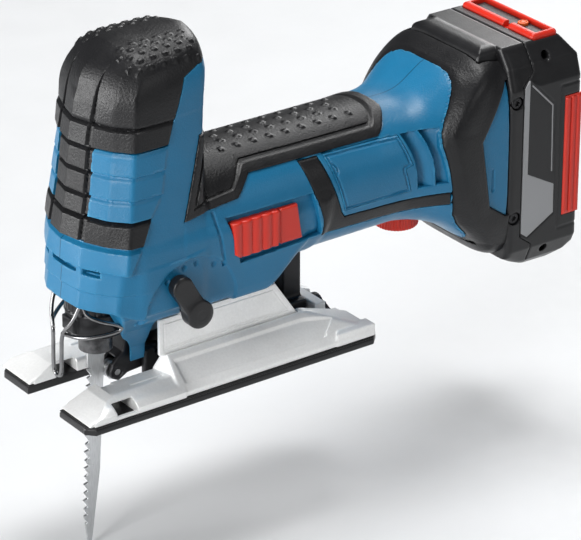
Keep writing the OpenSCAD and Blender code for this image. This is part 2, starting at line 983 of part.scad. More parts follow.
module pack_hollow() {
  intersection() {
    pack_form(pack_wall);
    block([200, -50, 0], [260, 50, 115.6]);
  }
}

label_side = [
  [217.4, 32.7], [221, 30], [237, 39], [236.8, 54], [236, 96], [220.6, 111.5], [217.4, 107.4]
];

module pack_cuts() {
  both() across(label_side, 37.2, 40);
  both() block([242.2, 36.6, 36], [pack_rear_x + 1, 40, 98]);
  both() for (z = [41.7, 101]) rod_y(3.2, 35, 40, 213.4, z);
  difference() {
    block([frame_x[0] - 0.4, -frame_half_w - 0.4, 119], [frame_x[1] + 0.4, frame_half_w + 0.4, 130]);
    block([frame_x[0] + frame_bar + 0.4, -frame_half_w + frame_bar + 0.4, 110],
      [frame_x[1] - frame_bar - 0.4, frame_half_w - frame_bar - 0.4, 140]);
  }
  rod_z(2.9, 121.2, 130, 238.5, -9);
}

module pack_shell() {
  difference() {
    union() {
      pack_form(0);
      difference() {
        block([198.5, -25, 30], [tail_end_x + 1, 25, 118]);
        both() block([201, 23.6, 29], [204, 26, 113]);
        for (i = [-2 : 2]) block([198, 7 * i - 1.2, 29], [204.4, 7 * i + 1.2, 73]);
      }
      block([202.4, -25, 117.9], [tail_end_x + 1, 25, pack_top]);
    }
    pack_hollow();
    pack_cuts();
  }
}

module pack_shell_front() {
  color(black) intersection() {
    pack_shell();
    block([190, -60, 0], [seam_x - 0.02, 60, 150]);
  }
}

module pack_shell_rear() {
  color(black) intersection() {
    pack_shell();
    block([seam_x + 0.02, -60, 0], [270, 60, 150]);
  }
}

module pack_cells() {
  color("#3f7f4e") for (x = cell_x, z = cell_z) rod_y(cell_r, -32.5, 32.5, x, z);
}

module pack_holder() {
  color("#2b2b2d") both() difference() {
    intersection() {
      block([213.2, 20, 17.6], [249.8, 25, 114.4]);
      pack_form(pack_wall + 0.1);
    }
    for (x = cell_x, z = cell_z) rod_y(cell_r + run_gap, 19, 26, x, z);
  }
}

module pack_board() {
  color("#2c5a3c") block([211.9, -30, 22], [213.1, 30, 108]);
}

module pack_ribs() {
  color(red) both() {
    block([242.3, 36.7, 36.1], [pack_rear_x, 37.5, 97.9]);
    for (i = [0 : 2]) block([242.6 + 3.4 * i, 37.5, 36.4], [245.1 + 3.4 * i, 38.3, 97.6]);
  }
}

module pack_labels() {
  color("#8a8b8e") both() across(inset(label_side, 0.1), 37.2, 37.55);
}

module pack_screws() {
  color("#4a4b4e") both() for (z = [41.7, 101]) rod_y(3, 35, 36.6, 213.4, z);
}

module release_button() {
  color(red) difference() {
    block([frame_x[0], -frame_half_w, 121.6], [frame_x[1], frame_half_w, pack_top + 0.6]);
    block([frame_x[0] + frame_bar, -frame_half_w + frame_bar, 120],
      [frame_x[1] - frame_bar, frame_half_w - frame_bar, 130]);
    across([[243.2, 127], [250, 120], [250, 130]], -40, 40);
  }
}

module release_spring() {
  color(steel) both() difference() {
    rod_z(1.2, 119, 121.6, 231.3, 15);
    rod_z(0.7, 118, 122, 231.3, 15);
  }
}

module gauge_button() {
  color("#e8641e") rod_z(2.6, 122.5, pack_top + 0.5, 238.5, -9);
}

housing_screws();
gearbox();
plunger_bushes();
gear_shaft();
drive_gear();
crank_roller();
counterweight();
motor_can();
motor_magnets();
motor_end_cap();
motor_bearings();
rotor();
pinion();
fan();
brushes();
switch_module();
switch_slider();
electronics();
speed_dial();
terminal_block();
plunger();
blade_clamp();
clamp_ring();
ring_spring();
blade();
wire_guard();
pendulum_arm();
pendulum_pin();
roller_axle();
guide_roller();
orbital_lever();
orbital_cam();
bevel_segment();
bevel_pin();
foot_plate();
cradle_walls();
sliding_shoe();
clamp_screw();
pack_shell_front();
pack_shell_rear();
pack_cells();
pack_holder();
pack_board();
pack_ribs();
pack_labels();
pack_screws();
release_button();
release_spring();
gauge_button();
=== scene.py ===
"""Looks of a cordless body-grip jigsaw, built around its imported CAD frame.

Shapes are fields in millimetres: negative inside, positive outside. surface() turns one into a
mesh by dual contouring, which keeps creases sharp. Every piece rides on a CAD body.
"""

import json
import math

import bpy
import numpy as np
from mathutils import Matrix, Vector


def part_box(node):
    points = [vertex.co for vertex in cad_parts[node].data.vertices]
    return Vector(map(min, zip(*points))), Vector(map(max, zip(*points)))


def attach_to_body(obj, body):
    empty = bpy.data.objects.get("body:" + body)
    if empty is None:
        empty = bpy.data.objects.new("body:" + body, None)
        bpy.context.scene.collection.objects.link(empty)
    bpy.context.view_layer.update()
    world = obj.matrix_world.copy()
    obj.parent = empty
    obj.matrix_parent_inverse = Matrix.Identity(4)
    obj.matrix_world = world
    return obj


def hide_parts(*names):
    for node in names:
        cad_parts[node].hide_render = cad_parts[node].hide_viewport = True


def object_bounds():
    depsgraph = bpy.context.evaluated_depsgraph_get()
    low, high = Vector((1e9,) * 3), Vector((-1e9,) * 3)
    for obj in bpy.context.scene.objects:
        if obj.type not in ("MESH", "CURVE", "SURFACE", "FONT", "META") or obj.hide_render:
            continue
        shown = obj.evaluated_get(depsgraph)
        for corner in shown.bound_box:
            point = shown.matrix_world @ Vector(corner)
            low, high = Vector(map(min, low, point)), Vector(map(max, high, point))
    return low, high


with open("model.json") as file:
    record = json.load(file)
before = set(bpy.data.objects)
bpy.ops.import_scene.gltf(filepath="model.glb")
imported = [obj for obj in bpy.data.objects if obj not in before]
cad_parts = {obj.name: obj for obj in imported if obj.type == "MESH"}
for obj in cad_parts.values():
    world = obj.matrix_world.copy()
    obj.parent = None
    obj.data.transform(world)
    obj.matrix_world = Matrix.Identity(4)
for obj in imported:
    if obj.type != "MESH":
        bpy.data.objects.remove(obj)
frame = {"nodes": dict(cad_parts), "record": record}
CAD_BOX = [list(corner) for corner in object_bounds()]
MM = 0.001
FINE = 1.0

# ---------------------------------------------------------------- fields


def smax(a, b, k):
    """Larger of two fields, with the crease rounded over a width k."""
    h = np.maximum(k - np.abs(a - b), 0) / k
    return np.maximum(a, b) + h * h * k * 0.25


def smin(a, b, k):
    return -smax(-a, -b, k)


def step(t, lo, hi):
    """Smooth 0 to 1 as t goes from lo to hi."""
    s = np.clip((t - lo) / (hi - lo), 0, 1)
    return s * s * (3 - 2 * s)


def polygon(u, v, points):
    """Signed distance to a closed outline."""
    best = np.full(u.shape, 1e9)
    inside = np.zeros(u.shape, bool)
    for (ax, ay), (bx, by) in zip(points[-1:] + points[:-1], points):
        ex, ey = bx - ax, by - ay
        wx, wy = u - ax, v - ay
        t = np.clip((wx * ex + wy * ey) / (ex * ex + ey * ey), 0, 1)
        best = np.minimum(best, (wx - ex * t) ** 2 + (wy - ey * t) ** 2)
        if ay != by:
            inside ^= ((ay > v) != (by > v)) & (u < ex * wy / ey + ax)
    return np.where(inside, -1, 1) * np.sqrt(best)


def box(x, y, z, lo, hi, r=0.0):
    """Box with edges rounded to radius r."""
    q = [np.abs(t - (a + b) / 2) - (b - a) / 2 + r for t, a, b in zip((x, y, z), lo, hi)]
    outside = np.sqrt(sum(np.maximum(t, 0) ** 2 for t in q))
    return outside + np.minimum(np.maximum(np.maximum(q[0], q[1]), q[2]), 0) - r


def rod(u, v, w, r, w0, w1, k=0.4):
    """Cylinder along w with its rims rounded over k."""
    return smax(np.hypot(u, v) - r, np.abs(w - (w0 + w1) / 2) - (w1 - w0) / 2, k)


def grid_points(counts):
    """Every whole-number place in a grid."""
    return np.stack(np.meshgrid(*[np.arange(count) for count in counts], indexing="ij"), -1).reshape(-1, 3)


def groove(distance, middle, width, edge=1.1):
    """1 along a line at a distance from an outline, fading to 0 at its sides."""
    return np.clip(edge - ((distance - middle) / width) ** 2, 0, 1)


def slope(field, p, h):
    """Mean value and gradient of a field around points p."""
    g, value = np.zeros_like(p), np.zeros(len(p))
    for k in ((1, -1, -1), (-1, -1, 1), (-1, 1, -1), (1, 1, 1)):
        q = p + np.array(k) * h
        f = field(q[:, 0], q[:, 1], q[:, 2])
        g += f[:, None] * np.array(k)
        value += f
    return value / 4, g / (4 * h)


def surface(shape, lo, hi, cell):
    """Vertices in mm and quads of a field's zero surface inside a box, by dual contouring."""
    block = 6
    low, high = lo, hi

    def field(x, y, z):
        return np.maximum(shape(x, y, z), box(x, y, z, low, high))

    lo = np.array(lo, float) - 1.5 * cell
    blocks = np.ceil((np.array(hi, float) + 1.5 * cell - lo) / (cell * block)).astype(int) + 1
    centres = grid_points(blocks)
    mid = lo + (centres + 0.5) * block * cell
    value = field(mid[:, 0], mid[:, 1], mid[:, 2])
    n = blocks * block
    dense = np.sign(value).reshape(blocks).astype(np.float32) * 9
    for axis in range(3):
        dense = np.repeat(dense, block, axis)
    near = centres[np.abs(value) < 1.5 * block * cell]
    local = grid_points([block] * 3)
    for part in np.array_split(near, max(1, len(near) // 4000)):
        at = (part[:, None, :] * block + local).reshape(-1, 3)
        p = lo + at * cell
        dense[at[:, 0], at[:, 1], at[:, 2]] = field(p[:, 0], p[:, 1], p[:, 2])
    dense[dense == 0] = 1e-6
    cells, points, flips = [], [], []
    for axis in range(3):
        head = [slice(None)] * 3
        tail = [slice(None)] * 3
        head[axis], tail[axis] = slice(0, -1), slice(1, None)
        a, b = dense[tuple(head)], dense[tuple(tail)]
        at = np.argwhere((a < 0) != (b < 0))
        a, b = a[tuple(at.T)], b[tuple(at.T)]
        p = at.astype(float)
        p[:, axis] += a / (a - b)
        points.append(lo + p * cell)
        side = [np.roll([1, 0, 0], axis + 1), np.roll([1, 0, 0], axis + 2)]
        round_edge = [at - i * side[0] - j * side[1] for i, j in ((0, 0), (1, 0), (1, 1), (0, 1))]
        cells.append(np.stack(round_edge, 1))
        flips.append(a > 0)
    p = np.concatenate(points)
    cells = np.concatenate(cells)
    value, normal = slope(field, p, cell * 0.15)
    size = np.maximum(np.linalg.norm(normal, axis=1, keepdims=True), 1e-6)
    normal = normal / size
    p = p - normal * np.clip(value[:, None] / size, -0.3 * cell, 0.3 * cell)
    ids = np.ravel_multi_index(cells.reshape(-1, 3).T, n)
    found, index = np.unique(ids, return_inverse=True)
    index = index.reshape(-1)
    p4, n4 = np.repeat(p, 4, 0), np.repeat(normal, 4, 0)

    def total(w):
        return np.bincount(index, weights=w, minlength=len(found))

    count = total(np.ones(len(index)))
    mean = np.stack([total(p4[:, i]) for i in range(3)], 1) / count[:, None]
    along = (n4 * (p4 - mean[index])).sum(1)
    right = np.stack([total(n4[:, i] * along) for i in range(3)], 1)
    left = np.zeros((len(found), 3, 3))
    for i in range(3):
        for j in range(i, 3):
            left[:, i, j] = left[:, j, i] = total(n4[:, i] * n4[:, j])
        left[:, i, i] += 0.08
    move = np.linalg.solve(left, right[:, :, None])[:, :, 0]
    corner = lo + np.stack(np.unravel_index(found, n), 1) * cell
    verts = np.clip(mean + move, corner, corner + cell)
    quads = index.reshape(-1, 4)
    flip = np.concatenate(flips)
    quads[flip] = quads[flip][:, ::-1]
    return verts, quads


# ---------------------------------------------------------------- meshes and pieces


def mesh_object(name, verts, faces, material, crease=38):
    """Object from vertices in mm and a faces array, smooth below the crease angle."""
    mesh = bpy.data.meshes.new(name)
    faces = np.asarray(faces)
    corners = faces.shape[1]
    mesh.vertices.add(len(verts))
    mesh.vertices.foreach_set("co", (np.asarray(verts) * MM).astype(np.float32).ravel())
    mesh.loops.add(faces.size)
    mesh.loops.foreach_set("vertex_index", faces.astype(np.int32).ravel())
    mesh.polygons.add(len(faces))
    mesh.polygons.foreach_set("loop_start", np.arange(0, faces.size, corners, dtype=np.int32))
    mesh.update(calc_edges=True)
    mesh.validate()
    mesh.polygons.foreach_set("use_smooth", np.ones(len(mesh.polygons), bool))
    mesh.set_sharp_from_angle(angle=math.radians(crease))
    mesh.materials.append(material)
    obj = bpy.data.objects.new(name, mesh)
    bpy.context.scene.collection.objects.link(obj)
    return obj


BODY_OF = {n: b for b, ns in frame["record"]["behaviour"]["bodies"].items() for n in ns}
SLOT_OF = {s["node"]: s["material_slot"] for s in frame["record"]["subparts"]}


def attach(obj, nodes):
    """obj rides on the body of its CAD nodes and stands for them."""
    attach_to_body(obj, BODY_OF[nodes[0]])
    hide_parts(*nodes)
    return obj


def extra(obj, node):
    """obj rides with a CAD node without standing for one."""
    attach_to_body(obj, BODY_OF[node])
    return obj


def node_box(node, grow=0.0):
    lo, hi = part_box(node)
    return [v / MM - grow for v in lo], [v / MM + grow for v in hi]


def room(nodes, grow):
    """Box in mm round CAD nodes, with grow to spare."""
    boxes = [node_box(node, grow) for node in nodes]
    return np.min([b[0] for b in boxes], 0), np.max([b[1] for b in boxes], 0)


def build(name, field, cell, material, nodes, grow=2.0, crease=38):
    """Piece from a field, in the room that its CAD nodes take."""
    verts, faces = surface(field, *room(nodes, grow), cell * FINE)
    return attach(mesh_object(name, verts, faces, material, crease), nodes)


# ---------------------------------------------------------------- materials


def finish_of(name, colour, rough, metal=0.0, grain=1400.0, depth=0.05, vary=0.07, worn=None,
              streak=None, seam=False, coat=0.0, speckle=0.0, shine=0.5):
    """Procedural finish: moulded or brushed grain, cloudy colour, rubbed edges and uneven gloss.

    depth is the grain's height in mm, worn the colour of rubbed edges, streak the stretch of a
    brushed grain along X, Y and Z, and seam draws the parting line on the middle plane.
    """
    mat = bpy.data.materials.new(name)
    mat.use_nodes = True
    tree = mat.node_tree
    shader = tree.nodes["Principled BSDF"]

    def node(kind, inputs, **settings):
        new = tree.nodes.new("ShaderNode" + kind)
        for key, value in settings.items():
            setattr(new, key, value)
        for key, value in inputs.items():
            if isinstance(value, bpy.types.NodeSocket):
                tree.links.new(value, new.inputs[key])
            else:
                new.inputs[key].default_value = value
        return new

    def ramp(value, low, high, to_low, to_high):
        return node("MapRange", {0: value, 1: low, 2: high, 3: to_low, 4: to_high}).outputs[0]

    def times(a, b):
        return node("Math", {0: a, 1: b}, operation="MULTIPLY").outputs[0]

    place = node("TexCoord", {}).outputs["Object"]
    cloud = node("TexNoise", {"Vector": place, "Scale": 28.0, "Detail": 4.0}).outputs["Fac"]
    patch = node("TexNoise", {"Vector": place, "Scale": 160.0, "Detail": 6.0}).outputs["Fac"]
    stretched = node("Mapping", {"Vector": place, "Scale": streak or (1, 1, 1)}).outputs[0]
    fine = node("TexNoise", {"Vector": stretched, "Scale": grain, "Detail": 3.0}).outputs["Fac"]
    shade = ramp(cloud, 0.3, 0.7, 1 - vary, 1 + vary)
    shade = times(shade, ramp(fine, 0.3, 0.7, 1 - speckle, 1 + speckle))
    if seam:
        across = node("SeparateXYZ", {0: place}).outputs[1]
        across = node("Math", {0: across}, operation="ABSOLUTE").outputs[0]
        shade = times(shade, ramp(across, 0.00012, 0.0003, 0.25, 1.0))
    tint = node("VectorMath", {0: colour[:3], "Scale": shade}, operation="SCALE").outputs[0]
    if worn:
        sharp = node("NewGeometry", {}).outputs["Pointiness"]
        rub = times(ramp(sharp, 0.52, 0.60, 0.0, 0.75), ramp(patch, 0.42, 0.6, 0.15, 1.0))
        tint = node("Mix", {0: rub, 6: tint, 7: (*worn, 1)}, data_type="RGBA").outputs[2]
    tree.links.new(tint, shader.inputs["Base Color"])
    gloss = times(ramp(patch, 0.3, 0.7, rough * 0.88, rough * 1.14), ramp(cloud, 0.3, 0.7, 0.94, 1.06))
    tree.links.new(gloss, shader.inputs["Roughness"])
    bump = node("Bump", {"Height": fine, "Distance": depth * MM, "Strength": 1.0}).outputs[0]
    tree.links.new(bump, shader.inputs["Normal"])
    shader.inputs["Metallic"].default_value = metal
    shader.inputs["Specular IOR Level"].default_value = shine
    shader.inputs["Coat Weight"].default_value = coat
    shader.inputs["Coat Roughness"].default_value = 0.25
    return mat


BLUE = finish_of("blue_nylon", (0.0095, 0.150, 0.300), 0.36, grain=1200, depth=0.10,
                 worn=(0.05, 0.30, 0.50), seam=True, shine=0.4)
RUBBER = finish_of("soft_rubber", (0.008, 0.008, 0.009), 0.38, grain=1000, depth=0.16, vary=0.12,
                   worn=(0.020, 0.020, 0.022), shine=0.36)
BLACK = finish_of("black_nylon", (0.0095, 0.0095, 0.0105), 0.34, depth=0.05, vary=0.10,
                  worn=(0.03, 0.03, 0.032), shine=0.42)
RED = finish_of("red_nylon", (0.62, 0.022, 0.008), 0.36, depth=0.05, worn=(0.75, 0.08, 0.04))
ORANGE = finish_of("orange_nylon", (0.75, 0.13, 0.02), 0.4, depth=0.04, worn=(0.8, 0.25, 0.08))
ALLOY = finish_of("die_cast_alloy", (0.90, 0.90, 0.89), 0.40, metal=0.3, grain=900, depth=0.06,
                  vary=0.05, worn=(0.95, 0.95, 0.94), speckle=0.03)
STEEL = finish_of("ground_steel", (0.56, 0.57, 0.58), 0.30, metal=1.0, grain=500, depth=0.02,
                  streak=(1, 1, 9), worn=(0.75, 0.75, 0.76), speckle=0.08)
BLADE = finish_of("blade_steel", (0.62, 0.63, 0.64), 0.33, metal=0.95, grain=420, depth=0.02,
                  streak=(9, 1, 0.6), vary=0.1, worn=(0.85, 0.85, 0.85), speckle=0.10)
DARK = finish_of("black_oxide", (0.016, 0.016, 0.018), 0.34, metal=0.45, grain=1600, depth=0.03,
                 vary=0.2, worn=(0.14, 0.14, 0.145))
CHROME = finish_of("bright_wire", (0.20, 0.20, 0.205), 0.16, metal=1.0, depth=0.01, vary=0.15,
                   worn=(0.5, 0.5, 0.5))
LABEL = finish_of("label_film", (0.30, 0.305, 0.315), 0.42, grain=2400, depth=0.01, vary=0.04,
                  speckle=0.02, worn=(0.3, 0.3, 0.31))
FINISH = {
    "blue_nylon": BLUE, "soft_grip": RUBBER, "black_nylon": BLACK, "red_nylon": RED,
    "orange_nylon": ORANGE, "fastener": DARK, "die_cast": ALLOY, "steel": STEEL, "black_steel": DARK,
    "blade_steel": BLADE, "label": LABEL,
    "sintered": finish_of("sintered_bronze", (0.42, 0.30, 0.12), 0.5, metal=0.9, depth=0.05, speckle=0.2),
    "iron": finish_of("pressed_iron", (0.12, 0.12, 0.125), 0.55, metal=0.8, depth=0.08, speckle=0.2),
    "magnet": finish_of("ferrite", (0.045, 0.045, 0.05), 0.6, depth=0.06, speckle=0.25),
    "winding": finish_of("laminations", (0.34, 0.16, 0.05), 0.4, metal=0.7, grain=700, streak=(6, 0.4, 0.4),
                         depth=0.08, speckle=0.3),
    "carbon": finish_of("pressed_carbon", (0.03, 0.03, 0.032), 0.6, depth=0.05, speckle=0.2),
    "board": finish_of("lacquered_board", (0.02, 0.11, 0.05), 0.3, grain=300, depth=0.03, speckle=0.2),
    "cell_wrap": finish_of("cell_sleeve", (0.03, 0.21, 0.09), 0.3, depth=0.02, coat=0.4),
}
for node_name, cad in frame["nodes"].items():
    cad.data.materials.clear()
    cad.data.materials.append(FINISH[SLOT_OF[node_name]])

# ---------------------------------------------------------------- outer form of the housing

# Front edges of the head's facets, as height and place: NOSE is on the middle plane, CHEEK 12 out
# from it, TEMPLE 22.5 and SIDE 30.3, and below the tiles JAW is 19.5 out and JAW_SIDE 27.5
NOSE = [(50, -18.8), (69, -16.4), (83, -15.6), (97, -13.6), (116, -11.3), (138, -8.6), (150, -6.4),
        (170, -1)]
CHEEK = [(50, -17.4), (69, -14.3), (83, -12.5), (104, -9.6), (126, -7.5), (138, -5.8), (160, -1.5),
         (170, 1.5)]
TEMPLE = [(70, -7.3), (89, -6.5), (112, -4.1), (122, -2.6), (150, -1.6), (170, 3)]
SIDE = [(70, -1.3), (89, 1.2), (112, 3), (132, 4.6), (150, 5.4), (170, 11)]
JAW = [(50, -12.8), (69, -10.5)]
JAW_SIDE = [(50, -5.4), (61, -3.2), (69, -1.6)]
# Tiles of the head: bottom, top and how far each stands proud
ROWS = [(70.6, 82.2, 1.2), (83.2, 94.6, 1.4), (95.0, 104.4, 0.8), (104.8, 115.2, 0.8), (115.6, 126.1, 0.8),
        (126.9, 137.4, 1.4)]
ROW_ENDS = [(70.5, 1), (82, 6.8), (95.3, 12), (105, 18), (126.4, 21.2), (138.7, 24.9)]
# Barrel and tail: place, half width, top, bottom and squareness
LOFT = [(30, 31, 107, 44, 2.15), (140, 31, 106.6, 45, 2.2), (154, 31.3, 106.6, 46, 2.35),
        (163, 32.3, 106.6, 45, 2.5), (170, 33.5, 108, 43.5, 2.7), (175, 34.8, 111, 42, 2.9),
        (180, 36, 114.5, 40, 3.2), (185, 36.5, 117.6, 37.5, 3.6), (190, 37, 119, 33.5, 4.0),
        (195, 37, 120.3, 30, 4.4), (200, 37, 121, 26, 4.5), (209, 37, 121.4, 21.5, 4.5)]
# Axis of the orbital lever, seen from the side
LEVER = (31.5, 44.5)


def table(t, pairs):
    return np.interp(t, *zip(*pairs))


def fair(column, soft=3.0):
    """A column of LOFT as a smooth curve along the tool."""
    at = np.arange(20, 220, 0.5)
    weights = np.exp(-((np.arange(-24, 25) * 0.5 / soft) ** 2))
    rough = np.pad(np.interp(at, [row[0] for row in LOFT], [row[column] for row in LOFT]), 24, "edge")
    return at, np.convolve(rough, weights / weights.sum(), "valid")


LOFT_CURVES = [fair(column) for column in (1, 2, 3, 4)]


def off_line(x, z, ax, az, bx, bz):
    """Distance to the line between two places, seen from the side."""
    t = np.clip(((x - ax) * (bx - ax) + (z - az) * (bz - az)) / ((bx - ax) ** 2 + (bz - az) ** 2), 0, 1)
    return np.hypot(x - ax - (bx - ax) * t, z - az - (bz - az) * t)


def facet(x, v, xa, va, xb, vb):
    """Distance outwards from the facet that runs from a, nearer the front, to b."""
    return ((v - va) * (xb - xa) - (x - xa) * (vb - va)) / np.hypot(xb - xa, vb - va)


def relief(x, v, z):
    """How far the head's tiles stand proud of its facets, with the nose's grooves."""
    dip = np.where((z > 94.8) & (z < 126.3) & (v > 13.5), -0.15, -0.9)
    lift = dip
    for low, high, rise in ROWS:
        flank = np.minimum(np.clip((z - low) / 0.5, 0, 1), np.clip((high - z) / 1.5, 0, 1))
        flare = 1.15 - 0.35 * (z - low) / (high - low)
        lift = np.maximum(lift, dip + (rise * flare - dip) * flank)
    lift = lift * step(table(z, ROW_ENDS) - x, -0.3, 1.2)
    cap = z > 137.6
    lift = np.where(cap, 0.4 * step(z, 137.6, 139), np.where(z < 70.4, 0, lift))
    width = 1.7 * np.clip((166 - z) / 28, 0, 1)
    nose = (z > 83) & (x < 20)
    return lift - nose * 1.6 * np.clip((width - np.abs(v - 12)) / 0.7, 0, 1)


def crown_dots(x, v, z):
    """Height of the bumps on the head's shoulders: staggered rows along the tool."""
    row = np.clip(np.round((25.2 - v) / 3.6), 0, 4)
    dx = (x - 6.6 - 3.2 * (row % 2)) % 6.4 - 3.2
    away = np.hypot(dx, (25.2 - 3.6 * row - v) * (1 + 0.5 * (v / 25) ** 2))
    return (z > 150) * (x > 6) * (x < 43) * 0.55 * np.clip(1.25 - (away / 1.6) ** 2, 0, 1)


def taper(x, y, z):
    """The head narrows upwards: place and half width on its facets as they are at mid height."""
    wide = table(z, [(58, 1.09), (74, 1.09), (118, 1.0), (150, 0.96), (170, 0.94)])
    v = np.abs(y) / wide
    return x + 0.72 * (wide - 1) * v, v


def head(x, y, z):
    x, v = taper(x, y, z)
    nose, cheek, temple, side = (table(z, p) for p in (NOSE, CHEEK, TEMPLE, SIDE))
    upper = smax(facet(x, v, nose, 0, cheek, 12), facet(x, v, cheek, 12, temple, 22.5), 0.3)
    upper = smax(upper, facet(x, v, temple, 22.5, side, 30.3), 0.4)
    upper = smax(upper, facet(x, v, side, 30.3, 17, 32), 0.8)
    upper = smax(upper, v - 32, 2) - relief(x, v, z)
    back = x - table(z, [(100, 1.5), (125, 2.0), (143, 2.8), (155, 4.6), (165, 4)])
    rear = smax(facet(back, v, 25, 32, 39.5, 28.5), facet(back, v, 39.5, 28.5, 43, 22), 2)
    rear = smax(rear, facet(back, v, 43, 22, 49.5, 0), 3)
    crown = z - 169.6 + 0.007 * v ** 2 + 0.24 * np.maximum(10 - x, 0)
    upper = smax(smax(upper, crown, 18), rear, 9) - crown_dots(x, v, z)
    jaw, jaw_side = table(z, JAW), table(z, JAW_SIDE)
    skirt = smax(facet(x, v, nose, 0, cheek, 12), facet(x, v, cheek, 12, jaw, 19.5), 0.4)
    skirt = smax(skirt, facet(x, v, jaw, 19.5, jaw_side, 27.5), 0.4)
    skirt = smax(skirt, facet(x, v, jaw_side, 27.5, 8, 31), 0.8) + 0.6 * step(60.5 - z, 0, 1)
    skirt = smax(smax(skirt, v - 31, 1), rear, 2)
    bottom = 50 + table(x, [(-20, 1), (-6, 1), (4, -3)])
    return np.minimum(smax(upper, 70 - z, 1.2), smax(smax(skirt, z - 71, 0.5), bottom - z, 1.6))


def barrel(x, y, z):
    half, top, low, power = (np.interp(x, *curve) for curve in LOFT_CURVES)
    mid, tall = (top + low) / 2, (top - low) / 2
    r = (np.abs(y) / half) ** power + (np.abs(z - mid) / tall) ** power
    return smax((r ** (1 / power) - 1) * np.minimum(half, tall), np.abs(x - 119.5) - 89.4, 1.0)


BELLY = [(6, 40), (84, 40), (90, 43.5), (97, 47.5), (104, 49), (108, 78), (6, 78)]


def belly(x, y, z):
    width = table(z, [(40, 29), (46, 30.3), (62, 31), (78, 31)])
    under = (np.abs(y) - 31) * 0.66 - (z - 62) * 0.75 - 0.7 * np.maximum(98 - x, 0)
    return smax(smax(polygon(x, z, BELLY), np.abs(y) - width, 4), under, 3)


def body(x, y, z):
    """The whole outer form, without its openings: the lever's round recess with a dimple for
    each of its settings, and two short grooves.
    """
    form = smin(smin(head(x, y, z), barrel(x, y, z), 2.5), belly(x, y, z), 5)
    away = np.hypot(x - LEVER[0], z - LEVER[1])
    near_side = y < -24
    form = form + near_side * 1.0 * step(26 - away, 0, 1.2)
    for angle in (-38, -12, 6, 35):
        px = LEVER[0] + 22.5 * math.sin(math.radians(angle))
        pz = LEVER[1] + 22.5 * math.cos(math.radians(angle))
        form = form + near_side * 0.9 * np.clip(1 - (np.hypot(x - px, z - pz) / 1.5) ** 2, 0, 1)
    for ends in ((45, 87, 50, 61), (199.8, 60, 199.8, 70)):
        form = form + (np.abs(y) > 25) * 0.8 * groove(off_line(x, z, *ends), 0, 0.9, 1.2)
    return form


# ---------------------------------------------------------------- zones, as seen from the side

CAP = [(-40, 137.6), (24.9, 137.6), (31.3, 155), (40, 158.5), (60, 160), (60, 200), (-40, 200)]
GRIP = [(28.4, 87.8), (59.5, 90.3), (69, 98.4), (107, 98), (141.4, 97.9), (145.2, 100.3), (148.3, 103),
        (152.5, 106), (153.5, 109), (153.5, 126), (39.3, 126), (37, 117), (31.3, 97)]
BANDS = [(95, 99.5), (105.7, 99.5), (116, 69), (118, 66.4), (182, 64.2), (182, 57.4), (105.2, 59.4),
         (104.5, 69.3)]
PANEL = [(109.5, 97.4), (151.5, 96.6), (156.4, 82.4), (152.2, 81.4), (155.5, 69.2), (117.6, 69.6)]
SWITCH = [(51.5, 83.2), (99.5, 82.8), (104.3, 61.4), (59, 59.4)]
# Bumper seen from the side, as height and place: its front edge, then the ridge behind that
BUMPER_FRONT = [(30, 196), (35.4, 192.2), (43.6, 184.7), (51, 179.8), (58.5, 178.1), (68, 176.8),
                (75, 175.6), (82.5, 173.8), (88, 172.2), (94, 172.3), (99.4, 174.7), (108, 180),
                (113, 183.5), (118, 187), (124, 188)]
BUMPER_RIDGE = [(30, 203), (41, 195), (48.6, 188.6), (60, 183.2), (74, 180.7), (84, 178.2), (92.5, 176.8),
                (100, 180.6), (106, 184.2), (112, 189.5), (119, 196), (124, 198)]
# Louvres behind the panel: place of the front edge at the top, and width
LOUVRES = [(153.0, 8.2), (162.4, 9.6)]


def head_zone(x, y, z):
    x, v = taper(x, y, z)
    ends = x - table(z, ROW_ENDS)
    zone = np.minimum(np.maximum(np.abs(z - 88.8) - 6.1, ends), np.maximum(np.abs(z - 132) - 5.8, ends))
    nose = np.maximum(np.maximum(v - 13.5, np.abs(z - 111) - 28.3), x - 6)
    return np.minimum(np.minimum(zone, nose), polygon(x, z, CAP))


def bumper_zone(x, y, z):
    rear = table(z, [(42, 230), (45.1, 208), (52.2, 198.1), (86.3, 193), (112.9, 208.5), (114, 230)])
    return np.maximum(table(z, BUMPER_FRONT) - x, x - rear) * 0.85


def grip_zone(x, y, z):
    return polygon(x, z, GRIP)


def band_zone(x, y, z):
    clear = np.maximum(0.8 - grip_zone(x, y, z), 0.8 - bumper_zone(x, y, z))
    return np.maximum(polygon(x, z, BANDS), clear)


def panel_zone(x, y, z):
    return np.maximum(polygon(x, z, PANEL), 20 - np.abs(y))


def lever_hole(x, y, z):
    return rod(x - LEVER[0], z - LEVER[1], y, 4.3, -60, -25)


# Places of the housing's screws, seen from the side
SCREWS = [(40, 53), (132, 62), (188, 100), (180, 51)]


